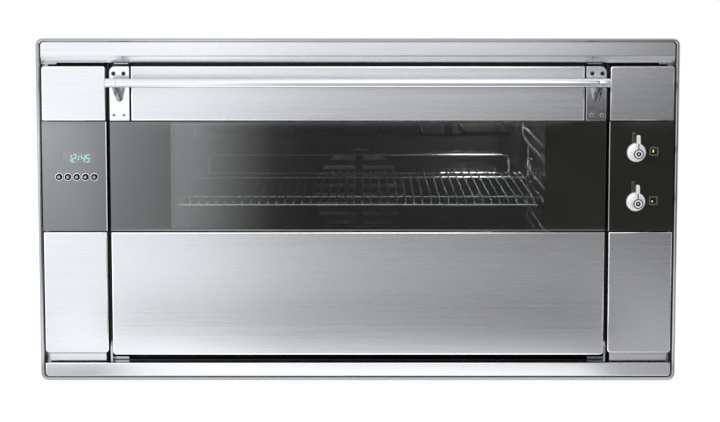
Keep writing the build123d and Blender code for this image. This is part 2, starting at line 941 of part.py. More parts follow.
def shelf_rail_route(z, back):
    """Raised stop rail at the back, from one foot over to the other."""
    left = [
        (-rail_half_width, back, z),
        (-rail_half_width, back, z + rail_rise - rail_corner),
        (-rail_half_width + rail_corner, back, z + rail_rise),
    ]
    return left + [(-x, depth, height) for x, depth, height in reversed(left)]


def make_wire_shelf():
    """Rim, cross bars, lengthwise wires and the raised stop rail at the back."""
    runner_z = rack_lowest_z + shelf_level * rack_level
    z = runner_z + rack_wire + shelf_rim_radius + moving_gap
    rim_half = shelf_half_width - shelf_rim_radius
    front = shelf_front_depth + shelf_rim_radius
    back = shelf_front_depth + shelf_length - shelf_rim_radius
    bars = []
    for offset in (shelf_second_bar, shelf_third_bar):
        depth = shelf_front_depth + offset
        ends = (-rim_half, depth, z), (rim_half, depth, z)
        bars.append(wire_run(*ends, shelf_rim_radius, bar_sides, flat_up=True))
    bar_top = shelf_rim_radius * math.cos(math.pi / bar_sides)
    seat = bar_top + shelf_wire_radius * math.cos(math.pi / thin_wire_sides)
    wires = []
    for i in range(shelf_wires):
        x = (i - (shelf_wires - 1) / 2) * shelf_wire_pitch
        ends = (x, front, z + seat), (x, back, z + seat)
        wires.append(wire_run(*ends, shelf_wire_radius, thin_wire_sides, flat_up=True))
    rail = bent_tube(shelf_rail_route(z, back), rail_radius)
    return bent_tube(shelf_rim_route(z), shelf_rim_radius).fuse(*bars, rail, *wires)


def make_lamp():
    """Lamp holder behind the cavity wall and the bulb that looks through it."""
    outside = cavity_x + liner_wall
    holder = prism(outside, lamp_depth, lamp_z, lens_radius, lamp_collar, "x", small_sides)
    holder += prism(outside, lamp_depth, lamp_z, lamp_radius, lamp_length, "x", small_sides)
    well_radius = lamp_radius - lamp_wall
    holder -= prism(outside, lamp_depth, lamp_z, well_radius, lamp_well, "x", small_sides)
    bulb = prism(outside + bulb_start, lamp_depth, lamp_z, bulb_radius, bulb_length, "x", small_sides)
    return holder + chamfer(bulb.faces().sort_by(Axis.X)[0].edges(), lens_bevel)


def make_lamp_lens():
    """Glass cover over the lamp with a bevelled rim, seated on the cavity wall."""
    front_x = cavity_x - lens_thickness
    lens = prism(front_x, lamp_depth, lamp_z, lens_radius, lens_thickness, "x", fine_sides)
    return chamfer(lens.faces().sort_by(Axis.X)[0].edges(), lens_bevel)


def make_probe():
    """Thermostat bulb held along the ceiling at the back."""
    bulb = prism(probe_x, probe_start_depth, probe_z, probe_radius, probe_length, "y", bar_sides)
    x_low, x_high = probe_x - probe_clip_width / 2, probe_x + probe_clip_width / 2
    clips = []
    for depth in probe_clip_depths:
        clips.append(block(x_low, x_high, depth, depth + probe_clip_length, probe_z, cavity_ceiling))
    return bulb.fuse(*clips)


def make_casing():
    """Base, sides, top and back of the outer casing, in folded sheet."""
    front, back = trim_depth, trim_depth + body_depth
    inside = back - thin_sheet
    under_top = casing_top_z - thin_sheet
    upstand_x = casing_x - upstand_inset
    base = block(-casing_x, casing_x, front, inside, 0, thin_sheet)
    base += block(-upstand_x, upstand_x, front, front + thin_sheet, 0, recess_bottom - 2 * sheet)
    top = block(-casing_x, casing_x, front, inside, under_top, casing_top_z)
    flange_x = casing_x - casing_flange
    side = block(flange_x, casing_x, front, inside, thin_sheet, under_top)
    side -= block(
        flange_x, casing_x - thin_sheet, front, inside - thin_sheet, 2 * thin_sheet, under_top - thin_sheet
    )
    panel = block(-casing_x, casing_x, inside, back, 0, casing_top_z)
    hole_start, through = inside - thin_sheet, 3 * thin_sheet
    panel -= rod(cable_hole_x, hole_start, cable_hole_z, cable_hole_radius, through, "y")
    vent_front = back - top_vent_back
    for i in range(vent_count):
        x_low = (i - (vent_count - 1) / 2) * vent_pitch - vent_width / 2
        x_high = x_low + vent_width
        panel -= block(x_low, x_high, inside, back, fan_z - vent_height, fan_z + vent_height)
        top -= block(x_low, x_high, vent_front, vent_front + vent_height, under_top, casing_top_z)
    return {
        "casing_base": base,
        "casing_top": top,
        "casing_sides": mirrored(side),
        "casing_back": panel,
    }


def make_casing_screws():
    """Hexagon-headed screws that hold the back panel to the sides."""
    back = trim_depth + body_depth
    screws = []
    for x in (-casing_x + casing_flange / 2, casing_x - casing_flange / 2):
        for i in range(screw_rows):
            z = 6 * screw_edge + i * (casing_top_z - 12 * screw_edge) / (screw_rows - 1)
            screws.append(prism(x, back, z, screw_head_radius, screw_head_height, "y", wire_sides))
    return Compound(children=screws)


def make_duct_floor():
    """Sheet over the insulation that carries the cooling blower and leads its air to the front."""
    half = casing_x - casing_flange - thin_sheet
    floor = block(-half, half, duct_front_depth, duct_back_depth, duct_z, duct_z + sheet)
    floor += block(-half, -half + sheet, duct_front_depth, duct_back_depth, duct_z, duct_z + casing_flange)
    floor += block(half - sheet, half, duct_front_depth, duct_back_depth, duct_z, duct_z + casing_flange)
    return floor


def blower_scroll(half_length, radius, base_z, top_z):
    """Round scroll with its flat outlet towards the front, as one solid."""
    drum = prism(-half_length, *rotor_axis, radius, 2 * half_length, "x")
    outlet_front = rotor_depth - housing_outlet
    return drum + block(-half_length, half_length, outlet_front, rotor_depth, base_z, top_z)


def make_blower_housing():
    """Open scroll round the crossflow wheel with a flat outlet towards the front."""
    base_z = duct_z + sheet
    outer = blower_scroll(housing_half_length, housing_radius + sheet, base_z, rotor_z)
    inner = blower_scroll(housing_half_length - sheet, housing_radius, base_z + sheet, rotor_z - sheet)
    intake_half = housing_half_length - intake_margin
    intake_back = rotor_depth + 2 * housing_radius
    intake_z = rotor_z - housing_radius / 2
    intake = block(-intake_half, intake_half, rotor_depth, intake_back, intake_z, casing_top_z)
    bearing = prism(-housing_half_length, *rotor_axis, bearing_radius, 2 * sheet, "x", small_sides)
    drive_hole = prism(intake_half, *rotor_axis, drive_hole_radius, 2 * intake_margin, "x", thin_wire_sides)
    reach = block(-casing_x, casing_x, 0, body_depth, base_z, casing_top_z - 2 * thin_sheet)
    return (outer - inner - intake - bearing - drive_hole) & reach


def make_blower_wheel():
    """Crossflow wheel: end discs, thin shaft and a ring of curved-in blades."""
    half = rotor_length / 2
    left_end = -housing_half_length - blower_foot_inset
    shaft_length = housing_half_length + blower_motor_gap - moving_gap - left_end
    wheel = prism(left_end, *rotor_axis, rotor_shaft_radius, shaft_length, "x", small_sides)
    for x in (-half, half - rotor_disc):
        wheel += prism(x, *rotor_axis, rotor_radius, rotor_disc, "x", small_sides)
    blade = Box(rotor_length, rotor_blade_thickness, rotor_blade_chord)
    blade = Pos(0, 0, rotor_radius - rotor_blade_inset) * Rot(rotor_blade_lean, 0, 0) * blade
    for i in range(rotor_blades):
        wheel += Pos(0, front_y + rotor_depth, rotor_z) * Rot(i * full_turn / rotor_blades, 0, 0) * blade
    return wheel


def make_blower_motor():
    """Motor on the right end of the blower, on its own foot."""
    x = housing_half_length + blower_motor_gap
    motor = prism(x, *rotor_axis, blower_motor_radius, blower_motor_length, "x")
    x_low, x_high = x + blower_foot_inset, x + blower_motor_length - blower_foot_inset
    front, back = rotor_depth - blower_foot_half, rotor_depth + blower_foot_half
    return motor + block(x_low, x_high, front, back, duct_z + sheet, rotor_z)


def make_terminal_block():
    """Stepped terminal block by the cable hole, with grooves between its ways."""
    low = duct_z + sheet
    x_low, x_high = terminal_x - terminal_width / 2, terminal_x + terminal_width / 2
    step_depth = terminal_depth + terminal_length / 2
    step_z = low + terminal_height / 2
    body = block(x_low, x_high, terminal_depth, terminal_depth + terminal_length, low, step_z)
    body += block(x_low, x_high, terminal_depth, step_depth, low, low + terminal_height)
    for i in range(1, terminal_ways):
        x = x_low + i * terminal_width / terminal_ways
        x_left, x_right = x - terminal_groove / 2, x + terminal_groove / 2
        top_z = low + terminal_height
        body -= block(x_left, x_right, terminal_depth, step_depth, step_z + terminal_groove, top_z)
    return body


def make_hinge_brackets():
    """Foot, upright cheek and fixed pin at each lower corner of the recess."""
    foot = block(foot_inner_x, recess_x, foot_front_depth, cheek_back_depth, recess_bottom, foot_top)
    cheek = block(cheek_inner_x, recess_x, cheek_front_depth, cheek_back_depth, recess_bottom, cheek_top)
    tops = cheek.edges().filter_by(Axis.X).sort_by(Axis.Z)[-2:]
    cheek = chamfer(tops, 2 * pin_radius)
    pin_length = recess_x - pin_inner_x - thin_sheet
    pin = prism(pin_inner_x, pivot_depth, pivot_z, pin_radius, pin_length, "x")
    return mirrored(foot + cheek + pin)


def make_hinge_plates():
    """Plate inside each side of the door that turns on the pin."""
    outer_x = frame_x - sheet
    front, back = face_depth + sheet, frame_back_depth - sheet
    low = frame_bottom + sheet
    bore_length = recess_x - pin_inner_x
    plate = block(outer_x - hinge_plate, outer_x, front, back, low, low + hinge_plate_height)
    plate = chamfer(plate.edges().filter_by(Axis.X).sort_by(Axis.Z)[-2:], hinge_plate_corner)
    heel = plate.edges().filter_by(Axis.X).sort_by_distance((outer_x, front_y + back, low))[0]
    plate = chamfer(heel, frame_heel)
    plate -= rod(pin_inner_x, pivot_depth, pivot_z, pin_radius + running_fit, bore_length, "x")
    return mirrored(plate)


def make_door_frame():
    """Closed channel round the door, with the window in front and the inner opening behind."""
    wall_front, wall_back = face_depth + sheet, frame_back_depth - sheet
    outer = block(-frame_x, frame_x, face_depth, frame_back_depth, frame_bottom, frame_top)
    low_back = (0, front_y + frame_back_depth, frame_bottom)
    heel = outer.edges().filter_by(Axis.X).sort_by_distance(low_back)[0]
    outer = chamfer(heel, frame_heel)
    inner_x, low, high = frame_x - sheet, frame_bottom + sheet, frame_top - sheet
    inner = block(-inner_x, inner_x, wall_front, wall_back, low, high)
    heel = inner.edges().filter_by(Axis.X).sort_by_distance((0, front_y + wall_back, low))[0]
    inner = chamfer(heel, frame_heel - folded_inner)
    window = block(-window_x, window_x, face_depth, wall_front, window_bottom, window_top)
    opening = slab(
        rectangle(-inner_opening_x, inner_opening_x, inner_opening_bottom, inner_opening_top), wall_back, sheet
    )
    frame = outer - inner - window - opening
    for x in (-frame_x, inner_x):
        frame -= prism(x, pivot_depth, pivot_z, pin_radius + sheet, sheet, "x", small_sides)
    return frame


def make_door_glass():
    """Outer pane across the whole door and inner pane behind the inner opening."""
    outer = block(-door_x, door_x, 0, glass_thickness, glass_bottom, glass_top)
    inner = block(
        -inner_glass_x,
        inner_glass_x,
        frame_back_depth - sheet - glass_thickness,
        frame_back_depth - sheet,
        inner_glass_bottom,
        inner_glass_top,
    )
    return {"door_outer_glass": outer, "door_inner_glass": inner}


def make_door_panels():
    """Steel strip above the glass and steel panel below it."""
    round_foot = [(-door_x, door_bottom), (door_x, door_bottom)]
    return {
        "door_top_strip": pressed_panel(-strip_x, strip_x, upper_panel_bottom, upper_panel_top, face_depth),
        "door_lower_panel": pressed_panel(
            -door_x, door_x, door_bottom, lower_panel_top, face_depth, round_foot
        ),
    }


def make_handle_plates():
    """Solid end plate on each side of the strip, with a round outer top corner."""
    plate = block(door_x - plate_width, door_x, 0, face_depth, upper_panel_bottom, upper_panel_top)
    corner = plate.edges().filter_by(Axis.Y).sort_by_distance((door_x, front_y, upper_panel_top))[0]
    plate = fillet(corner, plate_corner)
    plate = chamfer(plate.faces().sort_by(Axis.Y)[0].edges(), thin_sheet)
    return mirrored(plate)


def make_handle_struts():
    """Tapered round post that slants up and out from each plate to a saddle under the bar."""
    foot_centre = Vector(strut_x, front_y, strut_foot_z)
    head_centre = Vector(strut_x, front_y + bar_depth, bar_z)
    slope = (head_centre - foot_centre).normalized()
    buried = foot_centre - slope * strut_foot_radius
    foot = Plane(origin=buried, x_dir=(1, 0, 0), z_dir=slope)
    foot *= RegularPolygon(strut_foot_radius, round_sides)
    head = Plane(origin=head_centre, x_dir=(1, 0, 0), z_dir=slope)
    head *= RegularPolygon(strut_head_radius, round_sides)
    post = loft([foot, head], ruled=True)
    post &= block(strut_x - plate_width, door_x, -handle_reach, 0, upper_panel_bottom, bar_z)
    post -= make_handle_bar()
    post -= right_cap(0)
    return mirrored(post.solids().sort_by(Axis.Z)[0])


def make_handle_bar():
    """Round bar between the two end caps."""
    half = door_x - cap_length
    return prism(-half, bar_depth, bar_z, bar_radius, 2 * half, "x", fine_sides)


def right_cap(bevel):
    """Turned cap on the right end of the bar."""
    cap = prism(door_x - cap_length, bar_depth, bar_z, cap_radius, cap_length, "x", fine_sides)
    return chamfer(cap.faces().sort_by(Axis.X)[-1].edges(), bevel) if bevel else cap


def make_handle_caps():
    """Cap with a bevelled outer edge on each end of the bar."""
    return mirrored(right_cap(cap_bevel))


parts = {
    "front_trim": make_front_trim(),
    "front_chassis": make_front_chassis(),
    "top_fascia": make_top_fascia(),
    "bottom_fascia": make_bottom_fascia(),
    "plinth_strips": make_plinth_strips(),
    "clock_glass": make_clock_glass(),
    "clock_window": slab(clock_outline(seated_gap), moving_gap, glass_thickness - moving_gap),
    "clock_module": make_clock_module(),
    "knob_glass": make_knob_glass(),
    "switch_carrier": make_switch_carrier(),
    "thermostat": make_switch(upper_knob_z),
    "selector_switch": make_switch(lower_knob_z),
    "thermostat_knob": make_knob(upper_knob_z),
    "selector_knob": make_knob(lower_knob_z),
    "indicator_lenses": make_indicator_lenses(),
    "door_recess": make_recess(),
    "cavity_liner": make_cavity_liner(),
    "door_seal": make_door_seal(),
    "insulation": make_insulation(),
    "fan_cover": make_fan_cover(),
    "convection_fan": make_convection_fan(),
    "fan_motor": make_fan_motor(),
    "ring_element": make_ring_element(),
    "grill_element": make_grill_element(),
    "base_element": make_base_element(),
    "side_racks": mirrored(make_side_rack()),
    "wire_shelf": make_wire_shelf(),
    "oven_lamp": make_lamp(),
    "lamp_lens": make_lamp_lens(),
    "thermostat_probe": make_probe(),
    "casing_screws": make_casing_screws(),
    "duct_floor": make_duct_floor(),
    "blower_housing": make_blower_housing(),
    "blower_wheel": make_blower_wheel(),
    "blower_motor": make_blower_motor(),
    "terminal_block": make_terminal_block(),
    "hinge_brackets": make_hinge_brackets(),
    "hinge_plates": make_hinge_plates(),
    "door_frame": make_door_frame(),
    "handle_plates": make_handle_plates(),
    "handle_struts": make_handle_struts(),
    "handle_bar": make_handle_bar(),
    "handle_caps": make_handle_caps(),
}
parts.update(make_column_panels())
parts.update(make_buttons())
parts.update(make_casing())
parts.update(make_door_glass())
parts.update(make_door_panels())

os.makedirs("parts", exist_ok=True)
for name, shape in parts.items():
    export_step(shape, f"parts/{name}.step")
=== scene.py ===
import json
import logging
import math
from collections.abc import Callable
from dataclasses import dataclass, replace
from enum import Enum

import bmesh
import bpy
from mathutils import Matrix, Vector


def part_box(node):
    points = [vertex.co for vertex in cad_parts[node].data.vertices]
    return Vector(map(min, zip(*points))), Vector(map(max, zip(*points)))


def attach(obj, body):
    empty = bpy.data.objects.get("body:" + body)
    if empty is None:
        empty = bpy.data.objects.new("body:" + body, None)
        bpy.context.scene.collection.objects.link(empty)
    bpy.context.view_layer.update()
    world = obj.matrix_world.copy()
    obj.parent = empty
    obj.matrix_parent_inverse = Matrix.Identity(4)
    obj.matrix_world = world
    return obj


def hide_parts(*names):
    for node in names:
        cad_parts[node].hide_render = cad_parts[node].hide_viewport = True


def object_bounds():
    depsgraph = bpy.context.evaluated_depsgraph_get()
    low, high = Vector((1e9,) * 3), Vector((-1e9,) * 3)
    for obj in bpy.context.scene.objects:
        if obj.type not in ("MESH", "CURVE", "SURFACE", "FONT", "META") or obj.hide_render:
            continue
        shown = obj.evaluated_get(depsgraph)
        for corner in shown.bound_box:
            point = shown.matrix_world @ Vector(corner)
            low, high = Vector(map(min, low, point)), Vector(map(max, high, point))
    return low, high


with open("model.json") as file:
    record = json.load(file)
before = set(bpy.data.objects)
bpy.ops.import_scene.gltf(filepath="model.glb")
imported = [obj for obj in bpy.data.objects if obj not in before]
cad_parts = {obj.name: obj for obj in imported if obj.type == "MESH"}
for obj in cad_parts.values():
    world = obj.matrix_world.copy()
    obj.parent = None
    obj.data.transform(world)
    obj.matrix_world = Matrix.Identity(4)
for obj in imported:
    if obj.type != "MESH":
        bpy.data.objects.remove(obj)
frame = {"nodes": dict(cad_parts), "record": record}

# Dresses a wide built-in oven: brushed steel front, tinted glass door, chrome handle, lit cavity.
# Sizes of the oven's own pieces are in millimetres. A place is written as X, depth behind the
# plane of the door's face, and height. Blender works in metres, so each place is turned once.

MM = 0.001
FACE_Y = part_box("door_outer_glass")[0][1]
CAD_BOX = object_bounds()
TOLERANCE = 0.02
FLAT = 0.9

log = logging.getLogger("oven")

Point = tuple[float, float, float]
Pair = tuple[float, float]
Levels = tuple[Pair, ...]
Test = Callable[[Point], bool]
FaceTest = Callable[[bpy.types.MeshPolygon], bool]
Material = bpy.types.Material
Node = bpy.types.Node
Socket = bpy.types.NodeSocket


class Part(Enum):
    """What an edit mode selection picks."""

    VERTS = "VERT"
    EDGES = "EDGE"
    FACES = "FACE"


class Along(Enum):
    """Direction of a turned piece's axis, as the turn that lays a standing cylinder along it."""

    X = (0.0, math.pi / 2, 0.0)
    Y = (math.pi / 2, 0.0, 0.0)


class Rounded(Enum):
    """Which corners of a panel are round, as the limit of its span that they lie on."""

    NONE = ""
    TOP = "z_high"
    BOTTOM = "z_low"


@dataclass(frozen=True)
class Span:
    """Limits of a piece in millimetres, with depth counted back from the door's face."""

    x_low: float
    x_high: float
    front: float
    back: float
    z_low: float
    z_high: float

    @classmethod
    def of(cls, node: str) -> "Span":
        """Reads the limits of a node of the frame.

        Args:
            node: Name of the node.

        Returns:
            Its limits at rest.
        """
        low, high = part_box(node)
        front, back = (low[1] - FACE_Y) / MM, (high[1] - FACE_Y) / MM
        return cls(low[0] / MM, high[0] / MM, front, back, low[2] / MM, high[2] / MM)

    @classmethod
    def around(cls, x: float, z: float, half_width: float, half_height: float, front: float, back: float) -> "Span":
        """Limits on both sides of a middle seen from the front."""
        return cls(x - half_width, x + half_width, front, back, z - half_height, z + half_height)

    def centre(self) -> Point:
        """Middle of the span."""
        return ((self.x_low + self.x_high) / 2, (self.front + self.back) / 2, (self.z_low + self.z_high) / 2)

    def size(self) -> Point:
        """Width, depth and height."""
        return (self.x_high - self.x_low, self.back - self.front, self.z_high - self.z_low)


def place(x: float, depth: float, z: float) -> Vector:
    """Turns a place in millimetres into Blender's metres."""
    return Vector((x * MM, FACE_Y + depth * MM, z * MM))


def unplace(co: Vector) -> Point:
    """The place in millimetres of a point in metres."""
    return (co.x / MM, (co.y - FACE_Y) / MM, co.z / MM)


def near(value: float, target: float) -> bool:
    """Whether two lengths in millimetres are the same."""
    return abs(value - target) < TOLERANCE


def at(x: float | None = None, depth: float | None = None, z: float | None = None) -> Test:
    """Test for the places that have the given coordinates."""
    return lambda p: all(want is None or near(value, want) for value, want in zip(p, (x, depth, z)))


def from_axis(face: bpy.types.MeshPolygon, x: float, z: float) -> float:
    """How far a face's middle lies from an axis that runs straight back."""
    middle = unplace(face.center)
    return math.hypot(middle[0] - x, middle[2] - z)


class Workpiece:
    """A mesh that is shaped in edit mode from a primitive, with sizes in millimetres."""

    def __init__(self, name: str) -> None:
        """Takes over the primitive that was just added, with its place moved into its mesh.

        Args:
            name: Name of the piece.
        """
        bpy.ops.object.transform_apply(location=True, rotation=True, scale=True)
        self.object = bpy.context.object
        self.object.name = name
        self.object.data.name = name

    @staticmethod
    def clear() -> None:
        """Leaves edit mode and deselects everything, so that an operator acts on one piece alone."""
        if bpy.context.object and bpy.context.object.mode == "EDIT":
            bpy.ops.object.mode_set(mode="OBJECT")
        bpy.ops.object.select_all(action="DESELECT")

    @classmethod
    def block(cls, name: str, span: Span) -> "Workpiece":
        """Starts from a cube.

        Args:
            name: Name of the piece.
            span: Limits of the cube.

        Returns:
            The new piece.
        """
        cls.clear()
        scale = [length * MM for length in span.size()]
        bpy.ops.mesh.primitive_cube_add(size=1, location=place(*span.centre()), scale=scale)
        return cls(name)

    @classmethod
    def rod(cls, name: str, centre: Point, radius: float, length: float, along: Along, sides: int = 32) -> "Workpiece":
        """Starts from a cylinder.

        Args:
            name: Name of the piece.
            centre: Middle of its axis.
            radius: Its radius.
            length: Its length.
            along: Direction of its axis.
            sides: Number of its sides.

        Returns:
            The new piece.
        """
        cls.clear()
        bpy.ops.mesh.primitive_cylinder_add(
            vertices=sides, radius=radius * MM, depth=length * MM, location=place(*centre), rotation=along.value
        )
        return cls(name)

    @classmethod
    def post(cls, name: str, ends: tuple[Point, Point], radii: Pair) -> "Workpiece":
        """Starts from a cone with its point cut off, between two places.

        Args:
            name: Name of the piece.
            ends: Middles of its two ends.
            radii: Radius at each end.

        Returns:
            The new piece.
        """
        cls.clear()
        start, end = (place(*point) for point in ends)
        axis = end - start
        bpy.ops.mesh.primitive_cone_add(
            vertices=32,
            radius1=radii[0] * MM,
            radius2=radii[1] * MM,
            depth=axis.length,
            location=(start + end) / 2,
            rotation=axis.to_track_quat("Z", "Y").to_euler(),
        )
        return cls(name)

    @classmethod
    def wire(cls, name: str, route: list[Point], radius: float, bend: float = 0.0) -> "Workpiece":
        """Bends a round wire along a route, by extruding a corner point by point.

        Args:
            name: Name of the piece.
            route: Places that the wire's middle goes through.
            radius: Radius of the wire.
            bend: How far before each corner its round bend starts.

        Returns:
            The new piece.
        """
        cls.clear()
        places = [place(*point) for point in route]
        bpy.ops.mesh.primitive_plane_add(size=MM, location=places[0])
        piece = cls(name)
        bpy.ops.object.mode_set(mode="EDIT")
        bpy.ops.mesh.select_mode(type="VERT")
        bpy.ops.mesh.select_all(action="SELECT")
        bpy.ops.mesh.merge(type="CENTER")
        for start, end in zip(places, places[1:]):
            bpy.ops.mesh.extrude_region_move(TRANSFORM_OT_translate={"value": end - start})
        if bend:
            mesh = bmesh.from_edit_mesh(piece.object.data)
            for vert in mesh.verts:
                vert.select_set(len(vert.link_edges) == 2)
            bmesh.update_edit_mesh(piece.object.data)
            bpy.ops.mesh.bevel(offset=bend * MM, segments=6, affect="VERTICES")
        bpy.ops.object.mode_set(mode="OBJECT")
        bpy.ops.object.convert(target="CURVE")
        curve = bpy.context.object.data
        curve.bevel_depth = radius * MM
        curve.bevel_resolution = 3
        curve.use_fill_caps = True
        bpy.ops.object.convert(target="MESH")
        piece.object = bpy.context.object
        piece.edit()
        bpy.ops.mesh.remove_doubles(threshold=1e-6)
        piece.face_outwards()
        return piece

    def edit(self) -> None:
        """Enters edit mode with the whole mesh selected."""
        bpy.context.view_layer.objects.active = self.object
        bpy.ops.object.mode_set(mode="EDIT")
        bpy.ops.mesh.select_all(action="SELECT")

    def face_outwards(self) -> None:
        """Turns the selected faces outwards and leaves edit mode."""
        bpy.ops.mesh.normals_make_consistent(inside=False)
        bpy.ops.object.mode_set(mode="OBJECT")

    def select(self, part: Part, test: Test, normal: Test | None = None) -> None:
        """Enters edit mode and selects by place, and faces by their normal too.

        Args:
            part: What is selected.
            test: Whether the place of a corner passes; all of an element's corners have to.
            normal: Whether a face's normal passes.
        """
        self.edit()
        bpy.ops.mesh.select_mode(type=part.value)
        bpy.ops.mesh.select_all(action="DESELECT")
        mesh = bmesh.from_edit_mesh(self.object.data)
        elements = {Part.VERTS: mesh.verts, Part.EDGES: mesh.edges, Part.FACES: mesh.faces}[part]
        for element in elements:
            corners = [element] if part is Part.VERTS else element.verts
            chosen = all(test(unplace(corner.co)) for corner in corners)
            if chosen and (normal is None or normal(tuple(element.normal))):
                element.select_set(True)
        mesh.select_flush_mode()
        bmesh.update_edit_mesh(self.object.data)

    def select_front(self, test: Test) -> None:
        """Selects the flat faces that look forward where a test passes."""
        self.select(Part.FACES, test, lambda n: n[1] < -FLAT)

    def open_back(self, depth: float) -> None:
        """Deletes the face that looks back at a depth."""
        self.select(Part.FACES, at(depth=depth), lambda n: n[1] > FLAT)
        bpy.ops.mesh.delete(type="FACE")

    def bevel(self, width: float, segments: int) -> None:
        """Rounds the selected edges."""
        bpy.ops.mesh.bevel(offset=width * MM, segments=segments, affect="EDGES", clamp_overlap=True)

    def round_edges(self, test: Test, width: float, segments: int) -> None:
        """Rounds the edges whose corners pass a test."""
        self.select(Part.EDGES, test)
        self.bevel(width, segments)

    def push(self, depth: float) -> None:
        """Extrudes the selected face backwards by a depth, or forwards where it is negative."""
        bpy.ops.mesh.extrude_region_move(TRANSFORM_OT_translate={"value": (0, depth * MM, 0)})

    def sink(self, border: float, depth: float) -> None:
        """Draws the selected face in by a border and pushes its inner part back."""
        bpy.ops.mesh.inset(thickness=border * MM)
        self.push(depth)

    def shift_back(self, test: Test, depth: float) -> None:
        """Moves the corners that pass a test backwards."""
        self.select(Part.VERTS, test)
        bpy.ops.transform.translate(value=(0, depth * MM, 0))

    def scale_about(self, test: Test, centre: Point, factors: Point) -> None:
        """Scales the corners that pass a test about a place."""
        self.select(Part.VERTS, test)
        bpy.ops.transform.resize(value=factors, center_override=place(*centre))

    def cut(self, x: float | None = None, z: float | None = None) -> None:
        """Cuts the whole mesh along an upright or level plane, and keeps both sides.

        Args:
            x: Where an upright plane lies.
            z: Where a level plane lies.
        """
        self.edit()
        normal = (1, 0, 0) if z is None else (0, 0, 1)
        bpy.ops.mesh.bisect(plane_co=place(x or 0, 0, z or 0), plane_no=normal)

    def modify(self, kind: str, **settings: object) -> None:
        """Adds a modifier and applies it.

        Args:
            kind: The modifier's type.
            **settings: Its settings.
        """
        self.pick()
        modifier = self.object.modifiers.new(kind.title(), kind)
        for name, value in settings.items():
            setattr(modifier, name, value)
        bpy.ops.object.modifier_apply(modifier=modifier.name)

    def thicken(self, wall: float) -> None:
        """Gives an open sheet its thickness, inwards."""
        self.modify("SOLIDIFY", thickness=wall * MM, offset=-1.0)

    def paint(self, first: Material, second: Material, chosen: FaceTest) -> None:
        """Gives the piece two materials.

        Args:
            first: Material of most faces.
            second: Material of the chosen faces.
            chosen: Whether a face is chosen.
        """
        self.pick()
        mesh = self.object.data
        mesh.materials.append(first)
        mesh.materials.append(second)
        for face in mesh.polygons:
            face.material_index = int(chosen(face))

    def mirrored(self, name: str) -> "Workpiece":
        """A copy on the other side of the oven's middle.

        Args:
            name: Name of the copy.

        Returns:
            The copy, with its faces outwards.
        """
        self.pick()
        bpy.ops.object.duplicate(linked=False)
        bpy.ops.transform.resize(value=(-1, 1, 1), center_override=(0, 0, 0))
        twin = Workpiece(name)
        twin.edit()
        twin.face_outwards()
        return twin

    def pick(self) -> None:
        """Makes this piece the only one selected."""
        self.clear()
        self.object.select_set(True)
        bpy.context.view_layer.objects.active = self.object

    def join(self, *others: "Workpiece") -> None:
        """Joins other pieces into this one."""
        self.pick()
        for other in others:
            other.object.select_set(True)
        bpy.ops.object.join()

    def finish(self, material: Material, body: str, replaced: tuple[str, ...] = (), angle: float = 35.0) -> None:
        """Shades and dresses the piece, and makes it ride on its body.

        Args:
            material: Its material, if it isn't painted yet.
            body: The body that it moves with.
            replaced: Nodes of the frame that it stands for.
            angle: Edges sharper than this stay sharp, in degrees.
        """
        self.pick()
        bpy.ops.object.shade_smooth_by_angle(angle=math.radians(angle))
        # Keeps large flat faces flat where small bevels run into them
        self.modify("WEIGHTED_NORMAL", keep_sharp=True, weight=100)
        if not self.object.data.materials:
            self.object.data.materials.append(material)
        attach(self.object, body)
        if replaced:
            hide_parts(*replaced)
        log.info("%s rides on %s", self.object.name, body)

    def finish_pair(
        self, twin: str, material: Material, body: str, replaced: tuple[str, ...] = (), angle: float = 35.0
    ) -> None:
        """Finishes the piece and its mirror image.

        Args:
            twin: Name of the mirror image.
            material: Material of both.
            body: The body that they move with.
            replaced: Nodes of the frame that the pair stands for.
            angle: Edges sharper than this stay sharp, in degrees.
        """
        other = self.mirrored(twin)
        self.finish(material, body, replaced, angle)
        other.finish(material, body, (), angle)


def linear(colour: str) -> tuple[float, float, float, float]:
    """Turns an sRGB hex colour into the linear one that shaders take.

    Args:
        colour: Six hex digits after a hash.

    Returns:
        Red, green, blue and an alpha of one.
    """
    channels = [int(colour[i : i + 2], 16) / 255 for i in (1, 3, 5)]
    return (*(c / 12.92 if c <= 0.04045 else ((c + 0.055) / 1.055) ** 2.4 for c in channels), 1.0)


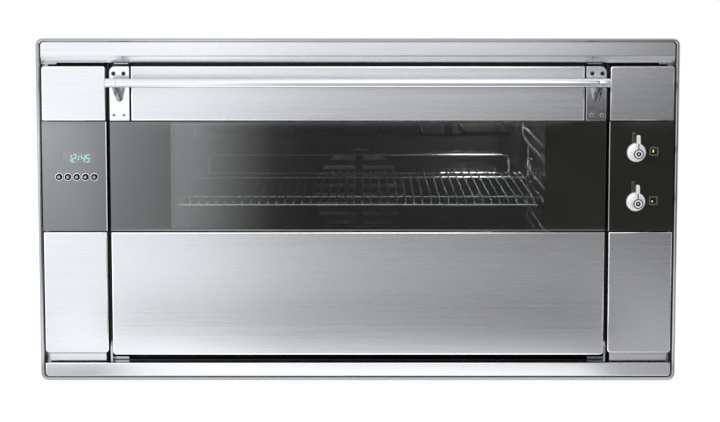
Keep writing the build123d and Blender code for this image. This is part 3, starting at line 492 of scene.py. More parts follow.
class Nodes:
    """A node tree, with the recipes that finishes and studio share."""

    def __init__(self, owner: bpy.types.ID) -> None:
        """Turns on the nodes of a material or a world.

        Args:
            owner: The material or world.
        """
        owner.use_nodes = True
        self.tree = owner.node_tree
        self.shader = self.tree.nodes.get("Principled BSDF")

    def feed(self, node: Node, inputs: dict) -> None:
        """Sets a node's inputs and properties, and links each input that gets a socket.

        Args:
            node: The node.
            inputs: Values and sockets by the name or number of an input, or the name of a property.
        """
        for key, value in inputs.items():
            if isinstance(value, Socket):
                self.tree.links.new(value, node.inputs[key])
            elif isinstance(key, int) or key in node.inputs:
                node.inputs[key].default_value = value
            else:
                setattr(node, key, value)

    def add(self, kind: str, inputs: dict | None = None) -> Node:
        """Adds a node.

        Args:
            kind: The node's type, without what all types start with.
            inputs: What it is fed with.

        Returns:
            The node.
        """
        node = self.tree.nodes.new(f"ShaderNode{kind}")
        self.feed(node, inputs or {})
        return node

    def shade(self, inputs: dict) -> None:
        """Sets or links inputs of the material's shader."""
        self.feed(self.shader, inputs)

    def where(self) -> Socket:
        """The piece's own coordinates."""
        return self.add("TexCoord").outputs["Object"]

    def grain(self, size: Point, detail: float = 2.0) -> Socket:
        """Noise on the piece's own coordinates, stretched to a real size.

        Args:
            size: Length of the grain along X, Y and Z in millimetres.
            detail: How many finer layers it has.

        Returns:
            The noise's factor.
        """
        scale = Vector([1 / (length * MM) for length in size])
        stretched = self.add("Mapping", {"Scale": scale, "Vector": self.where()})
        noise = {"Scale": 1.0, "Detail": detail, "Roughness": 0.55, "Vector": stretched.outputs[0]}
        return self.add("TexNoise", noise).outputs["Fac"]

    def cells(self, size: float) -> Node:
        """Cells of a size in millimetres on the piece's own coordinates."""
        return self.add("TexVoronoi", {"Scale": 1 / (size * MM), "Vector": self.where()})

    def spread(self, factor: Socket, low: float, high: float) -> Socket:
        """Maps the middle of a noise onto a range."""
        limits = {"From Min": 0.3, "From Max": 0.7, "To Min": low, "To Max": high}
        return self.add("MapRange", {**limits, "Value": factor}).outputs["Result"]

    def roughen(self, factor: Socket, low: float, high: float) -> None:
        """Lets a noise vary the shader's roughness."""
        self.shade({"Roughness": self.spread(factor, low, high)})

    def ramp(self, factor: Socket, stops: list[tuple[float, tuple]]) -> Socket:
        """Maps a factor onto colours.

        Args:
            factor: The factor.
            stops: Positions from zero to one, each with its colour.

        Returns:
            The colour.
        """
        ramp = self.add("ValToRGB", {"Fac": factor})
        elements = ramp.color_ramp.elements
        while len(elements) < len(stops):
            elements.new(0.5)
        for element, (position, colour) in zip(elements, stops):
            element.position = position
            element.color = colour
        return ramp.outputs["Color"]

    def tint(self, factor: Socket, first: str, second: str, ends: Pair = (0.35, 0.65)) -> None:
        """Blends the shader's colour from two, where a factor goes from one end to the other."""
        stops = [(end, linear(colour)) for end, colour in zip(ends, (first, second))]
        self.shade({"Base Color": self.ramp(factor, stops)})

    def bump(self, height: Socket, depth: float, strength: float) -> None:
        """Feeds the shader's normal with a relief.

        Args:
            height: The relief.
            depth: Its depth in millimetres.
            strength: How much of it shows.
        """
        relief = self.add("Bump", {"Distance": depth * MM, "Strength": strength, "Height": height})
        self.shade({"Normal": relief.outputs["Normal"]})

    def math(self, operation: str, first: Socket, second: Socket | float) -> Socket:
        """Combines two values by an operation."""
        return self.add("Math", {"operation": operation, 0: first, 1: second}).outputs[0]

    def step(self, value: Socket, limit: float, width: float) -> Socket:
        """A soft step from zero to one at a limit, or down where its half width is negative."""
        ends = {"interpolation_type": "SMOOTHSTEP", "From Min": limit - width, "From Max": limit + width}
        return self.add("MapRange", {**ends, "Value": value}).outputs["Result"]

    def between(self, value: Socket, limits: Pair, width: float) -> Socket:
        """One between two limits and zero outside, with ends as soft as half a width."""
        low, high = limits
        return self.math("MULTIPLY", self.step(value, low, width), self.step(value, high, -width))

    def blend(self, share: Socket, first: Socket, second: Socket) -> Socket:
        """Goes from the first light to the second as a share grows."""
        return self.add("Mix", {"data_type": "RGBA", 0: share, 6: first, 7: second}).outputs[2]


@dataclass(frozen=True)
class Finish:
    """A material's name, colour and gloss, and how it is made."""

    name: str
    colour: str
    roughness: float

    def make(self) -> Material:
        """Makes the material.

        Returns:
            The material with its detail.
        """
        material = bpy.data.materials.new(self.name)
        nodes = Nodes(material)
        nodes.shade({"Base Color": linear(self.colour), "Roughness": self.roughness})
        self.detail(nodes)
        return material

    def detail(self, nodes: Nodes) -> None:
        """Adds what makes this finish more than a colour.

        Args:
            nodes: The material's nodes.
        """


@dataclass(frozen=True)
class BrushedSteel(Finish):
    """Stainless sheet ground with a belt: fine level streaks that widen a reflection."""

    shade: str = "#CACBCE"
    # The real scratches are a twentieth of a millimetre apart and are drawn coarser to show
    streak: Point = (160.0, 160.0, 0.6)

    def detail(self, nodes: Nodes) -> None:
        """Adds streaks to colour, roughness and relief.

        Args:
            nodes: The material's nodes.
        """
        nodes.shade({"Metallic": 1.0})
        streaks = nodes.grain(self.streak, 4.0)
        nodes.tint(streaks, self.shade, self.colour)
        nodes.roughen(streaks, self.roughness - 0.03, self.roughness + 0.03)
        nodes.bump(streaks, 0.002, 0.2)


@dataclass(frozen=True)
class PolishedMetal(Finish):
    """Bright metal, buffed or chromed: clear reflections with faint wiping marks."""

    smear: float = 0.03
    metallic: float = 1.0

    def detail(self, nodes: Nodes) -> None:
        """Adds faint marks to the roughness."""
        nodes.shade({"Metallic": self.metallic})
        nodes.roughen(nodes.grain((9.0, 9.0, 9.0), 3.0), self.roughness, self.roughness + self.smear)


@dataclass(frozen=True)
class GalvanisedSheet(Finish):
    """Zinc-coated sheet: flat crystals a few millimetres wide, each a little lighter or darker."""

    shade: str = "#A6ABAD"
    crystal: float = 6.0

    def detail(self, nodes: Nodes) -> None:
        """Adds the crystals to colour and roughness.

        Args:
            nodes: The material's nodes.
        """
        nodes.shade({"Metallic": 0.9})
        tone = nodes.add("SeparateColor", {"Color": nodes.cells(self.crystal).outputs["Color"]})
        nodes.tint(tone.outputs["Red"], self.shade, self.colour)
        nodes.roughen(tone.outputs["Green"], self.roughness - 0.04, self.roughness + 0.05)


@dataclass(frozen=True)
class Enamel(Finish):
    """Vitreous enamel fired on steel: glassy and dark, with pale specks under a wavy gloss."""

    speck: str = "#2C2F31"
    speck_pitch: float = 2.2

    def detail(self, nodes: Nodes) -> None:
        """Adds the specks and the slight waviness."""
        nodes.tint(nodes.cells(self.speck_pitch).outputs["Distance"], self.speck, self.colour, (0.1, 0.2))
        nodes.bump(nodes.grain((30.0, 30.0, 30.0)), 0.02, 0.2)


@dataclass(frozen=True)
class TexturedSurface(Finish):
    """Moulded or coated skin with a fine even grain that breaks up the gloss."""

    grain_size: float = 0.8
    relief: float = 0.02
    gloss: float = 0.5

    def detail(self, nodes: Nodes) -> None:
        """Adds the grain to relief and roughness.

        Args:
            nodes: The material's nodes.
        """
        nodes.shade({"Specular IOR Level": self.gloss})
        skin = nodes.grain((self.grain_size,) * 3, 3.0)
        nodes.roughen(skin, self.roughness - 0.05, self.roughness + 0.06)
        nodes.bump(skin, self.relief, 0.5)


@dataclass(frozen=True)
class TwoTone(Finish):
    """Surface whose colour wanders between two tones, such as burnt metal or mineral wool."""

    second: str = "#808080"
    patch: Point = (8.0, 8.0, 8.0)
    relief: float = 0.1
    metallic: float = 0.0

    def detail(self, nodes: Nodes) -> None:
        """Adds the tones and a relief.

        Args:
            nodes: The material's nodes.
        """
        nodes.shade({"Metallic": self.metallic})
        patches = nodes.grain(self.patch, 5.0)
        nodes.tint(patches, self.colour, self.second)
        nodes.bump(patches, self.relief, 0.5)


@dataclass(frozen=True)
class ClearPane(Finish):
    """Float glass: polished flat, so a reflection in it is sharp, with a coating that adds to it."""

    coating: float = 0.0

    def detail(self, nodes: Nodes) -> None:
        """Lets light through, with faint wiping marks in the gloss.

        Args:
            nodes: The material's nodes.
        """
        nodes.shade({"Transmission Weight": 1.0, "IOR": 1.52})
        nodes.shade({"Coat Weight": self.coating, "Coat IOR": 2.2, "Coat Roughness": 0.0})
        nodes.roughen(nodes.grain((60.0, 60.0, 25.0), 3.0), self.roughness, self.roughness + 0.02)


@dataclass(frozen=True)
class PrintedGlass(Finish):
    """Toughened glass printed behind: a dark even ground under a hard mirror-like surface."""

    shade: str = "#101010"
    mirror: float = 0.85

    def detail(self, nodes: Nodes) -> None:
        """Adds the glossy face and a faint unevenness of the print.

        Args:
            nodes: The material's nodes.
        """
        # A reflective coating on the outer face doubles what plain glass mirrors
        nodes.shade({"IOR": 1.9, "Specular IOR Level": self.mirror})
        nodes.tint(nodes.grain((45.0, 45.0, 45.0)), self.shade, self.colour)
        nodes.roughen(nodes.grain((60.0, 60.0, 25.0), 3.0), self.roughness, self.roughness + 0.02)


@dataclass(frozen=True)
class Glow(Finish):
    """Lit plastic, glass or gas: it gives off its colour, and is finely frosted."""

    strength: float = 1.0

    def detail(self, nodes: Nodes) -> None:
        """Adds the light in the finish's own colour.

        Args:
            nodes: The material's nodes.
        """
        glow = nodes.grain((2.0, 2.0, 2.0))
        colour = nodes.ramp(glow, [(0.35, linear(self.colour)), (0.65, linear(self.colour))])
        nodes.shade({"Emission Strength": self.strength, "Emission Color": colour})


@dataclass(frozen=True)
class PolishedPlastic(Finish):
    """Moulded plastic with a piano gloss: a hard clear highlight on a deep ground."""

    ior: float = 1.6

    def detail(self, nodes: Nodes) -> None:
        """Adds the gloss, a little uneven."""
        nodes.shade({"IOR": self.ior})
        nodes.roughen(nodes.grain((3.0, 3.0, 3.0)), self.roughness, self.roughness + 0.05)


class Finishes:
    """All materials of the oven. Those that the frame wears are named as the record's slots are."""

    def __init__(self) -> None:
        """Makes each material once."""
        self.brushed_panel = BrushedSteel("brushed stainless steel", "#D0D1D4", 0.28).make()
        self.plate = PolishedMetal("polished end plate", "#DCDDE0", 0.12).make()
        # Near-white steel on the panels' folds and the glass edges: a painted highlight, brighter than the sheet it
        # stands on
        self.edge = PolishedMetal("buffed steel edge", "#F8F8F9", 0.16).make()
        self.polished_rim = PolishedMetal("polished stainless steel", "#A9ABAE", 0.14).make()
        self.polished_chrome = PolishedMetal("chrome plate", "#E2E3E6", 0.05).make()
        self.knob_chrome = PolishedMetal("pearl chrome plate", "#F4F4F5", 0.3, metallic=0.35).make()
        self.chromed_wire = PolishedMetal("chromed wire", "#D9DCE0", 0.22).make()
        self.tinted_glass = ClearPane("coated float glass", "#E6E8E4", 0.0, 1.0).make()
        self.clear_glass = ClearPane("clear float glass", "#F3F6F4", 0.0).make()
        self.backed_glass = PrintedGlass("black printed glass", "#21221D", 0.04, "#1C1C16").make()
        self.display_window = PrintedGlass("violet display filter", "#3A333F", 0.06, "#352F3B").make()
        self.digit = Glow("green display segment", "#9AD2BE", 0.5, 0.46).make()
        self.blackened = PolishedMetal("blackened screw steel", "#3E4044", 0.28).make()
        self.ring = PolishedMetal("bright nickel ring", "#DADCE0", 0.35).make()
        self.button_plastic = PolishedPlastic("gloss black ABS", "#030303", 0.06, ior=1.25).make()
        # A chrome disc in each button's middle stands for the dome's highlight: a painted highlight
        self.button_eye = PolishedMetal("chrome disc, painted highlight on button dome", "#8C8F94", 0.1).make()
        self.indicator_lens = PrintedGlass("dark indicator lens", "#0D0E09", 0.1, "#0A0A07").make()
        self.lens_edge = TexturedSurface("grey lens moulding", "#59616B", 0.35).make()
        self.lamp_glow = Glow("yellow-green lamp", "#B4E344", 0.4, 1.0).make()
        self.black_moulding = TexturedSurface("black moulded ABS", "#0C0C0C", 0.55).make()
        self.dark_enamel = Enamel("black vitreous enamel", "#0B0B0A", 0.24).make()
        self.coated_steel = TexturedSurface("black powder-coated steel", "#080808", 0.6, 0.5, 0.015, 0.15).make()
        self.galvanised_sheet = GalvanisedSheet("galvanised steel sheet", "#B4B8BA", 0.42).make()
        laminations, browning = (6.0, 0.5, 6.0), (12.0, 12.0, 12.0)
        self.motor_metal = TwoTone(
            "varnished motor laminations", "#4A4C4E", 0.5, "#2F3132", laminations, 0.05, 0.8
        ).make()
        self.fan_aluminium = PolishedMetal("pressed aluminium", "#C3C5C8", 0.3, 0.12).make()
        self.element_sheath = TwoTone(
            "heat-browned steel sheath", "#2B2A28", 0.38, "#46413A", browning, 0.02, 0.7
        ).make()
        self.seal_rubber = TexturedSurface("black silicone rubber", "#101010", 0.7, 0.6, 0.03).make()
        self.mineral_blanket = TwoTone("mineral wool", "#B9B4A2", 0.95, "#DAD6C8", (3.0, 9.0, 3.0), 0.8).make()
        self.white_ceramic = TwoTone("unglazed steatite", "#DEDACE", 0.7, "#CFCABB", (1.5, 1.5, 1.5), 0.03).make()
        # Near-black on screw sockets and the knobs' groove, eye and slot: painted shade in those recesses
        self.socket = TexturedSurface("near-black painted shade in sockets and recesses", "#070707", 0.5, 0.8, 0.02, 0.2).make()
        self.bulb = Glow("lit lamp glass", "#FFF3DC", 0.2, 6.0).make()

    def dress_frame(self) -> None:
        """Gives every node of the frame its material."""
        for part in frame["record"]["subparts"]:
            material = getattr(self, part["material_slot"])
            for slot in frame["nodes"][part["node"]].material_slots:
                slot.material = material
            log.info("%s wears %s", part["node"], material.name)


@dataclass
class Assembly:
    """Sub-assembly of the oven, which is made of the oven's materials."""

    finishes: Finishes


@dataclass
class PressedPanel(Assembly):
    """Sheet panel with rounded folds, open behind."""

    node: str
    body: str
    rounded: Rounded = Rounded.NONE
    corner: float = 5.0
    fold: float = 2.1
    wall: float = 1.0
    # A face whose normal turns further than this from straight ahead belongs to a fold
    ahead: float = -0.995

    def build(self) -> None:
        """Models the tray with its folds painted brighter as a highlight, and lets it stand for its node."""
        span = Span.of(self.node)
        tray = Workpiece.block(f"{self.node}_sheet", span)
        if self.rounded is not Rounded.NONE:
            for x in (span.x_low, span.x_high):
                tray.round_edges(at(x=x, z=getattr(span, self.rounded.value)), self.corner, 6)
        tray.open_back(span.back)
        tray.round_edges(at(depth=span.front), self.fold, 5)
        # The folds get near-white steel: a painted highlight along the panel's edges
        tray.paint(self.finishes.brushed_panel, self.finishes.edge, lambda face: face.normal.y > self.ahead)
        tray.thicken(self.wall)
        tray.finish(self.finishes.brushed_panel, self.body, (self.node,), 50)


@dataclass
class TopFascia(Assembly):
    """Upper fascia: upright face, slanted lower lip, rounded ends and the clips below it."""

    lip_height: float = 10.0
    lip_depth: float = 7.0
    clip_height: float = 2.0
    corner: float = 4.4
    wall: float = 1.2
    bend: float = 1.2
    clip_front: float = 8.0
    outer_clip: Pair = (420.0, 441.0)
    inner_clip: Pair = (320.0, 340.5)
    seam_x: float = 326.5
    seam_half: float = 0.6
    seam_proud: float = 0.2

    def build(self) -> None:
        """Models the folded sheet, its clips and its two weld seams."""
        span = Span.of("top_fascia")
        low = span.z_low + self.clip_height
        bend_z = low + self.lip_height
        sheet = Workpiece.block("top_fascia_sheet", replace(span, front=0, z_low=low))
        for x in (span.x_low, span.x_high):
            sheet.round_edges(at(x=x, z=span.z_high), self.corner, 6)
        sheet.open_back(span.back)
        sheet.cut(z=bend_z)
        sheet.shift_back(at(z=low, depth=0), self.lip_depth)
        sheet.round_edges(at(z=bend_z, depth=0), self.bend, 3)
        sheet.round_edges(at(z=low, depth=self.lip_depth), self.bend, 4)
        # The lower bend gets near-white steel: a painted highlight along the lip's edge
        sheet.paint(self.finishes.brushed_panel, self.finishes.edge, lambda face: face.center.z / MM < low + self.bend)
        sheet.thicken(self.wall)
        sheet.finish(self.finishes.brushed_panel, "oven", ("top_fascia",), 40)
        clip_span = Span(0, 0, self.clip_front, self.clip_front + 2 * self.wall, span.z_low, low + self.wall)
        for name, (x_low, x_high) in (("outer", self.outer_clip), ("inner", self.inner_clip)):
            clip = Workpiece.block(f"fascia_{name}_clip_right", replace(clip_span, x_low=x_low, x_high=x_high))
            clip.round_edges(at(depth=self.clip_front), self.wall * 0.6, 3)
            clip.finish_pair(f"fascia_{name}_clip_left", self.finishes.polished_rim, "oven")
        self.seam(low).finish_pair("fascia_seam_left", self.finishes.polished_rim, "oven")

    def seam(self, low: float) -> Workpiece:
        """Models the thin weld seam on the lip of the right side.

        Args:
            low: Height of the lip's lower edge.

        Returns:
            The seam.
        """
        x, half = self.seam_x, self.seam_half
        limits = (x - half, x + half, -self.seam_proud, half, low, low + self.lip_height)
        seam = Workpiece.block("fascia_seam_right", Span(*limits))
        seam.shift_back(at(z=low), self.lip_depth)
        seam.round_edges(lambda p: True, self.seam_proud, 2)
        return seam


@dataclass
class PlinthStrips(Assembly):
    """Grooved strip under each column, with rolled ends."""

    inner_x: float = 355.5
    groove: float = 1.5
    groove_depth: float = 1.2
    roll: float = 1.6

    def build(self) -> None:
        """Models the right strip and its mirror image."""
        span = Span.of("plinth_strips")
        low = span.z_low + self.groove
        high = low + self.groove
        strip = Workpiece.block("plinth_strip_right", replace(span, x_low=self.inner_x))
        strip.round_edges(at(depth=span.front), self.roll, 4)
        strip.cut(z=low)
        strip.cut(z=high)
        strip.select_front(lambda p: low - TOLERANCE < p[2] < high + TOLERANCE)
        strip.push(self.groove_depth)
        strip.finish_pair("plinth_strip_left", self.finishes.brushed_panel, "oven", ("plinth_strips",))


@dataclass
class Screw(Assembly):
    """Cap screw or countersunk screw with a socket, seen from the front."""

    name: str
    metal: Material
    x: float
    z: float
    radius: float
    socket: float
    proud: float
    rim_share: float = 0.7
    socket_share: float = 0.85

    def build(self) -> None:
        """Models the head with its rounded rim and socket."""
        head = Workpiece.rod(self.name, (self.x, 0.0, self.z), self.radius, 2 * self.proud, Along.Y)
        rim = self.proud * self.rim_share
        head.select_front(at(depth=-self.proud))
        head.bevel(rim, 3)
        head.select_front(at(depth=-self.proud))
        head.sink(self.radius - rim - self.socket, self.proud * self.socket_share)
        # The socket's faces get near-black: painted shade in the recess
        head.paint(
            self.metal,
            self.finishes.socket,
            lambda face: from_axis(face, self.x, self.z) < self.socket + TOLERANCE and face.normal.y < 0.5,
        )
        head.finish(self.metal, "door")


@dataclass
class Handle(Assembly):
    """Bar with turned caps on two slanted struts, each on a screwed end plate."""

    plate_width: float = 28.0
    plate_corner: float = 8.0
    plate_inner_corner: float = 1.2
    plate_edge: float = 0.8
    cap_length: float = 18.0
    cap_bevel: float = 1.4
    cap_over_bar: float = 0.1
    groove_inset: float = 2.8
    groove_width: float = 0.9
    groove_depth: float = 0.6
    strut_x: float = 332.0
    strut_short_of_bar: float = 3.0
    bar_radius: float = 6.15
    bar_edge: float = 0.4
    foot_z: float = 398.0
    foot_radius: float = 5.0
    foot_crown: float = 2.25
    head_radius: float = 6.1
    screw_x: Pair = (326.0, 340.0)
    upper_screw_z: float = 433.5
    lower_screw_z: float = 375.6

    def build(self) -> None:
        """Models the bar, caps, struts, plates and screws."""
        self.bar()
        self.caps()
        self.struts()
        self.plates()
        # Height, head radius, socket radius and how proud the head stands
        rows = (
            ("upper", self.finishes.blackened, (self.upper_screw_z, 3.0, 1.1, 0.6)),
            ("lower", self.finishes.brushed_panel, (self.lower_screw_z, 2.9, 1.4, 0.4)),
        )
        for side, sign in (("left", -1), ("right", 1)):
            for number, x in enumerate(self.screw_x, 1):
                for row, metal, sizes in rows:
                    name = f"plate_{side}_{row}_screw_{number}"
                    Screw(self.finishes, name, metal, sign * x, *sizes).build()

    def bar(self) -> None:
        """Models the round bar."""
        span = Span.of("handle_bar")
        bar = Workpiece.rod("handle_round_bar", span.centre(), self.bar_radius, span.size()[0], Along.X, 48)
        for x in (span.x_high, span.x_low):
            bar.round_edges(at(x=x), self.bar_edge, 2)
        bar.finish(self.finishes.polished_chrome, "door", ("handle_bar",))

    def caps(self) -> None:
        """Models a turned cap with a ring groove, and its mirror image."""
        span = Span.of("handle_caps")
        _, depth, z = span.centre()
        radius = self.bar_radius + self.cap_over_bar
        middle = (span.x_high - self.cap_length / 2, depth, z)
        cap = Workpiece.rod("handle_cap_right", middle, radius, self.cap_length, Along.X, 48)
        cap.round_edges(at(x=span.x_high), self.cap_bevel, 4)
        groove = span.x_high - self.cap_length + self.groove_inset
        for x in (groove - self.groove_width, groove, groove + self.groove_width):
            cap.cut(x=x)
        slim = 1 - self.groove_depth / radius
        cap.scale_about(at(x=groove), (groove, depth, z), (1, slim, slim))
        cap.finish_pair("handle_cap_left", self.finishes.polished_chrome, "door", ("handle_caps",))

    def struts(self) -> None:
        """Models a tapered strut with a round foot, and its mirror image."""
        _, bar_depth, bar_z = Span.of("handle_bar").centre()
        start = Vector((self.strut_x, 0.0, self.foot_z))
        end = Vector((self.strut_x, bar_depth, bar_z))
        slope = (end - start).normalized()
        ends = (tuple(start), tuple(end - slope * self.strut_short_of_bar))
        post = Workpiece.post("handle_strut_right", ends, (self.foot_radius, self.head_radius))
        post.round_edges(lambda p: (Vector(p) - start).dot(slope) < 1.0, self.foot_crown, 6)
        post.finish_pair("handle_strut_left", self.finishes.polished_rim, "door", ("handle_struts",), 60)

    def plates(self) -> None:
        """Models an end plate with a rounded edge, and its mirror image."""
        span = Span.of("handle_plates")
        x_low = span.x_high - self.plate_width
        plate = Workpiece.block("handle_plate_right", replace(span, x_low=x_low))
        plate.round_edges(at(x=span.x_high, z=span.z_high), self.plate_corner, 8)
        plate.round_edges(at(x=x_low, z=span.z_high), self.plate_inner_corner, 3)
        plate.round_edges(at(depth=span.front), self.plate_edge, 4)
        plate.finish_pair("handle_plate_left", self.finishes.plate, "door", ("handle_plates",))


@dataclass
class DoorGlass(Assembly):
    """Outer pane of the door: a clear window in a printed border."""

    window_x: float = 262.0
    window_z: float = 215.0
    edge: float = 0.5

    def build(self) -> None:
        """Models the pane and paints its border."""
        span = Span.of("door_outer_glass")
        pane = Workpiece.block("door_glass_pane", span)
        pane.round_edges(at(depth=span.front), self.edge, 2)
        pane.cut(x=-self.window_x)
        pane.cut(x=self.window_x)
        pane.cut(z=self.window_z)
        pane.paint(self.finishes.tinted_glass, self.finishes.backed_glass, self.is_printed)
        pane.finish(self.finishes.tinted_glass, "door", ("door_outer_glass",), 30)

    def is_printed(self, face: bpy.types.MeshPolygon) -> bool:
        """Whether a face lies beside or below the window."""
        return abs(face.center.x) / MM > self.window_x or face.center.z / MM < self.window_z


@dataclass
class Clock(Assembly):
    """Four lit digits and a colon behind the clock's window, and five domed buttons."""

    digits: str = "1245"
    digit_height: float = 10.2
    digit_width: float = 4.7
    digit_depth: float = 0.15
    stroke: float = 1.15
    digit_gap: float = 0.5
    slant: float = 0.14
    first_x: float = -406.2
    pitch: float = 6.7
    colon_gap: float = 5.8
    colon_rise: Pair = (0.36, 0.74)
    digit_z: float = 309.8
    buttons: int = 5
    ring: float = 0.75
    ring_gap: float = 0.15
    ring_proud: float = 0.3
    ring_edge: float = 0.3
    # Radius of the chrome disc in each dome's middle, a painted highlight
    eye: float = 2.3
    crown: float = 2.6

    # Each bar's middle, in digit widths to the right and in half digit heights up
    BARS = {
        "a": (0.5, 2.0),
        "b": (1.0, 1.5),
        "c": (1.0, 0.5),
        "d": (0.5, 0.0),
        "e": (0.0, 0.5),
        "f": (0.0, 1.5),
        "g": (0.5, 1.0),
    }
    LIT = {"1": "bc", "2": "abged", "4": "fgbc", "5": "afgcd"}

    def build(self) -> None:
        """Models the digits, rings and buttons."""
        self.display()
        for number in range(1, self.buttons + 1):
            self.button(number)

    def display(self) -> None:
        """Models the segments that are lit and slants them together."""
        bars = []
        for i, digit in enumerate(self.digits):
            x = self.first_x + i * self.pitch + (self.colon_gap if i > 1 else 0.0)
            bars.extend(self.segment(letter, x) for letter in self.LIT[digit])
        colon_x = self.first_x + 2 * self.pitch + self.colon_gap / 2 - (self.pitch - self.digit_width) / 2
        half = self.stroke * 0.8
        for share in self.colon_rise:
            bars.append(self.bar("colon", colon_x, self.digit_z + share * self.digit_height, half, half))
        clock = bars[0]
        clock.object.name = "clock_digits"
        clock.join(*bars[1:])
        for vert in clock.object.data.vertices:
            vert.co.x += self.slant * (vert.co.z - self.digit_z * MM)
        clock.finish(self.finishes.digit, "oven")

    def bar(self, name: str, x: float, z: float, half_width: float, half_height: float) -> Workpiece:
        """Starts a lit bar or dot on the window's face."""
        face = Span.of("clock_window").front
        return Workpiece.block(name, Span.around(x, z, half_width, half_height, face - self.digit_depth, face))

    def segment(self, letter: str, x: float) -> Workpiece:
        """Models one bar of a seven-bar digit, with softened edges.

        Args:
            letter: Which bar, from a at the top clockwise, with g in the middle.
            x: Left side of the digit.

        Returns:
            The bar.
        """
        right, rise = self.BARS[letter]
        half_digit, half_stroke = self.digit_height / 2, self.stroke / 2
        across = letter in "agd"
        half_length = ((self.digit_width if across else half_digit) - self.digit_gap) / 2
        halves = (half_length, half_stroke) if across else (half_stroke, half_length)
        bar = self.bar(f"segment_{letter}", x + right * self.digit_width, self.digit_z + rise * half_digit, *halves)
        bar.round_edges(lambda p: True, self.stroke * 0.45, 1)
        bpy.ops.object.mode_set(mode="OBJECT")
        return bar

    def button(self, number: int) -> None:
        """Models one domed button and the ring round it.

        Args:
            number: Which button, from the left.
        """
        node = f"clock_button_{number}"
        span = Span.of(node)
        width, length, _ = span.size()
        x, _, z = span.centre()
        radius = width / 2
        button = Workpiece.rod(f"{node}_dome", span.centre(), radius, length, Along.Y)
        button.round_edges(at(depth=span.front), self.crown, 7)
        # The dome's middle gets a chrome disc: a painted highlight
        button.paint(
            self.finishes.button_plastic,
            self.finishes.button_eye,
            lambda face: from_axis(face, x, z) < self.eye and face.normal.y < 0,
        )
        button.finish(self.finishes.button_plastic, f"button_{number}", (node,), 60)
        outer = radius + self.ring + self.ring_gap
        ring = Workpiece.rod(f"{node}_ring", (x, 0, z), outer, 2 * self.ring_proud, Along.Y)
        ring.round_edges(at(depth=-self.ring_proud), self.ring_edge, 2)
        ring.select_front(at(depth=-self.ring_proud))
        ring.sink(self.ring, self.ring_proud)
        ring.finish(self.finishes.ring, "oven")


@dataclass
class Knob(Assembly):
    """Turned knob with a domed skirt, a ringed hub and a pointing lever."""

    node: str
    x: float
    z: float
    skirt_radius: float = 13.3
    skirt_height: float = 6.0
    dome: float = 4.6
    hub_radius: float = 6.9
    hub_reach: float = 27.0
    hub_edge: float = 0.7
    hub_bevel: float = 0.5
    ring_outer: float = 5.5
    ring_inner: float = 3.35
    ring_depth: float = 1.8
    pin: float = 1.15
    lever_reach: float = 26.0
    lever_width: float = 4.6
    lever_root: float = 5.6
    lever_front: float = -25.0
    lever_back: float = -17.0
    lever_edge: float = 1.2
    slot_width: float = 1.5
    slot_top: float = 14.0
    slot_depth: float = 1.6
    gap: float = 0.3

    def build(self) -> None:
        """Models the knob as one piece that stands for its node."""
        knob = self.skirt()
        knob.join(self.hub(), self.lever())
        # Paints the hub's edge, groove, eye and the lever's slot near-black: painted shade in those recesses
        knob.paint(self.finishes.knob_chrome, self.finishes.socket, self.is_inlaid)
        knob.finish(self.finishes.knob_chrome, self.node, (self.node,), 40)

    def skirt(self) -> Workpiece:
        """Models the domed disc that covers the spindle hole.

        Returns:
            The skirt.
        """
        length = self.skirt_height - self.gap
        centre = (self.x, -self.gap - length / 2, self.z)
        skirt = Workpiece.rod(f"{self.node}_turned", centre, self.skirt_radius, length, Along.Y, 64)
        skirt.round_edges(at(depth=-self.skirt_height), self.dome, 8)
        return skirt

    def hub(self) -> Workpiece:
        """Models the hub with an edge, a groove, a bright ring and a sunk eye round a pin; the edge, groove and eye
        are painted black as shade.

        Returns:
            The hub.
        """
        centre = (self.x, -self.hub_reach / 2, self.z)
        hub = Workpiece.rod(f"{self.node}_hub", centre, self.hub_radius, self.hub_reach, Along.Y, 48)
        hub.round_edges(at(depth=-self.hub_reach), self.hub_bevel, 3)
        hub.select_front(at(depth=-self.hub_reach))
        groove = self.hub_radius - self.hub_edge - self.ring_outer
        ring = self.ring_outer - self.ring_inner
        # Borders and depths of a groove, the ring that rises from it, the eye and the pin
        for border, depth in ((0.2, 0.6), (groove, -0.6), (ring, 1.6), (self.ring_inner - self.pin, -1.0)):
            hub.sink(border, depth)
        return hub

    def lever(self) -> Workpiece:
        """Models the lever that narrows to a round tip, with a slot down its lower half.

        Returns:
            The lever.
        """
        tip, half = self.lever_width / 2, self.slot_width / 2
        top, slot_top = self.z + self.lever_reach, self.z + self.slot_top
        limits = (self.x - tip, self.x + tip, self.lever_front, self.lever_back, self.z, top)
        lever = Workpiece.block(f"{self.node}_lever", Span(*limits))
        lever.scale_about(at(z=self.z), (self.x, 0, self.z), (self.lever_root / self.lever_width, 1, 1))
        # At the top all corners lie on the two sides, so its whole outline is rounded
        lever.round_edges(at(z=top), tip * 0.98, 6)
        lever.round_edges(at(depth=self.lever_front), self.lever_edge, 5)
        lever.cut(x=self.x - half)
        lever.cut(x=self.x + half)
        lever.cut(z=slot_top)
        on_front = at(depth=self.lever_front)
        lever.select_front(
            lambda p: abs(p[0] - self.x) < half + TOLERANCE and p[2] < slot_top + TOLERANCE and on_front(p)
        )
        lever.push(self.slot_depth)
        return lever

    def is_inlaid(self, face: bpy.types.MeshPolygon) -> bool:
        """Whether a face lies in the hub's edge and groove, the eye or the slot, where shade is painted black.

        Args:
            face: The face.

        Returns:
            True where the knob has painted shade.
        """
        x, depth, z = unplace(face.center)
        x, z = x - self.x, z - self.z
        reach = math.hypot(x, z)
        in_edge = reach > self.ring_outer - 0.05
        in_eye = self.pin - 0.05 < reach < self.ring_inner + 0.05
        in_hub = depth < -self.hub_reach + self.ring_depth and (in_edge or in_eye)
        half = self.slot_width / 2 + TOLERANCE
        in_slot = abs(x) < half and self.hub_radius < z < self.slot_top + TOLERANCE
        return in_hub or (in_slot and self.lever_front + 0.1 < depth < self.lever_front + self.slot_depth + 0.1)


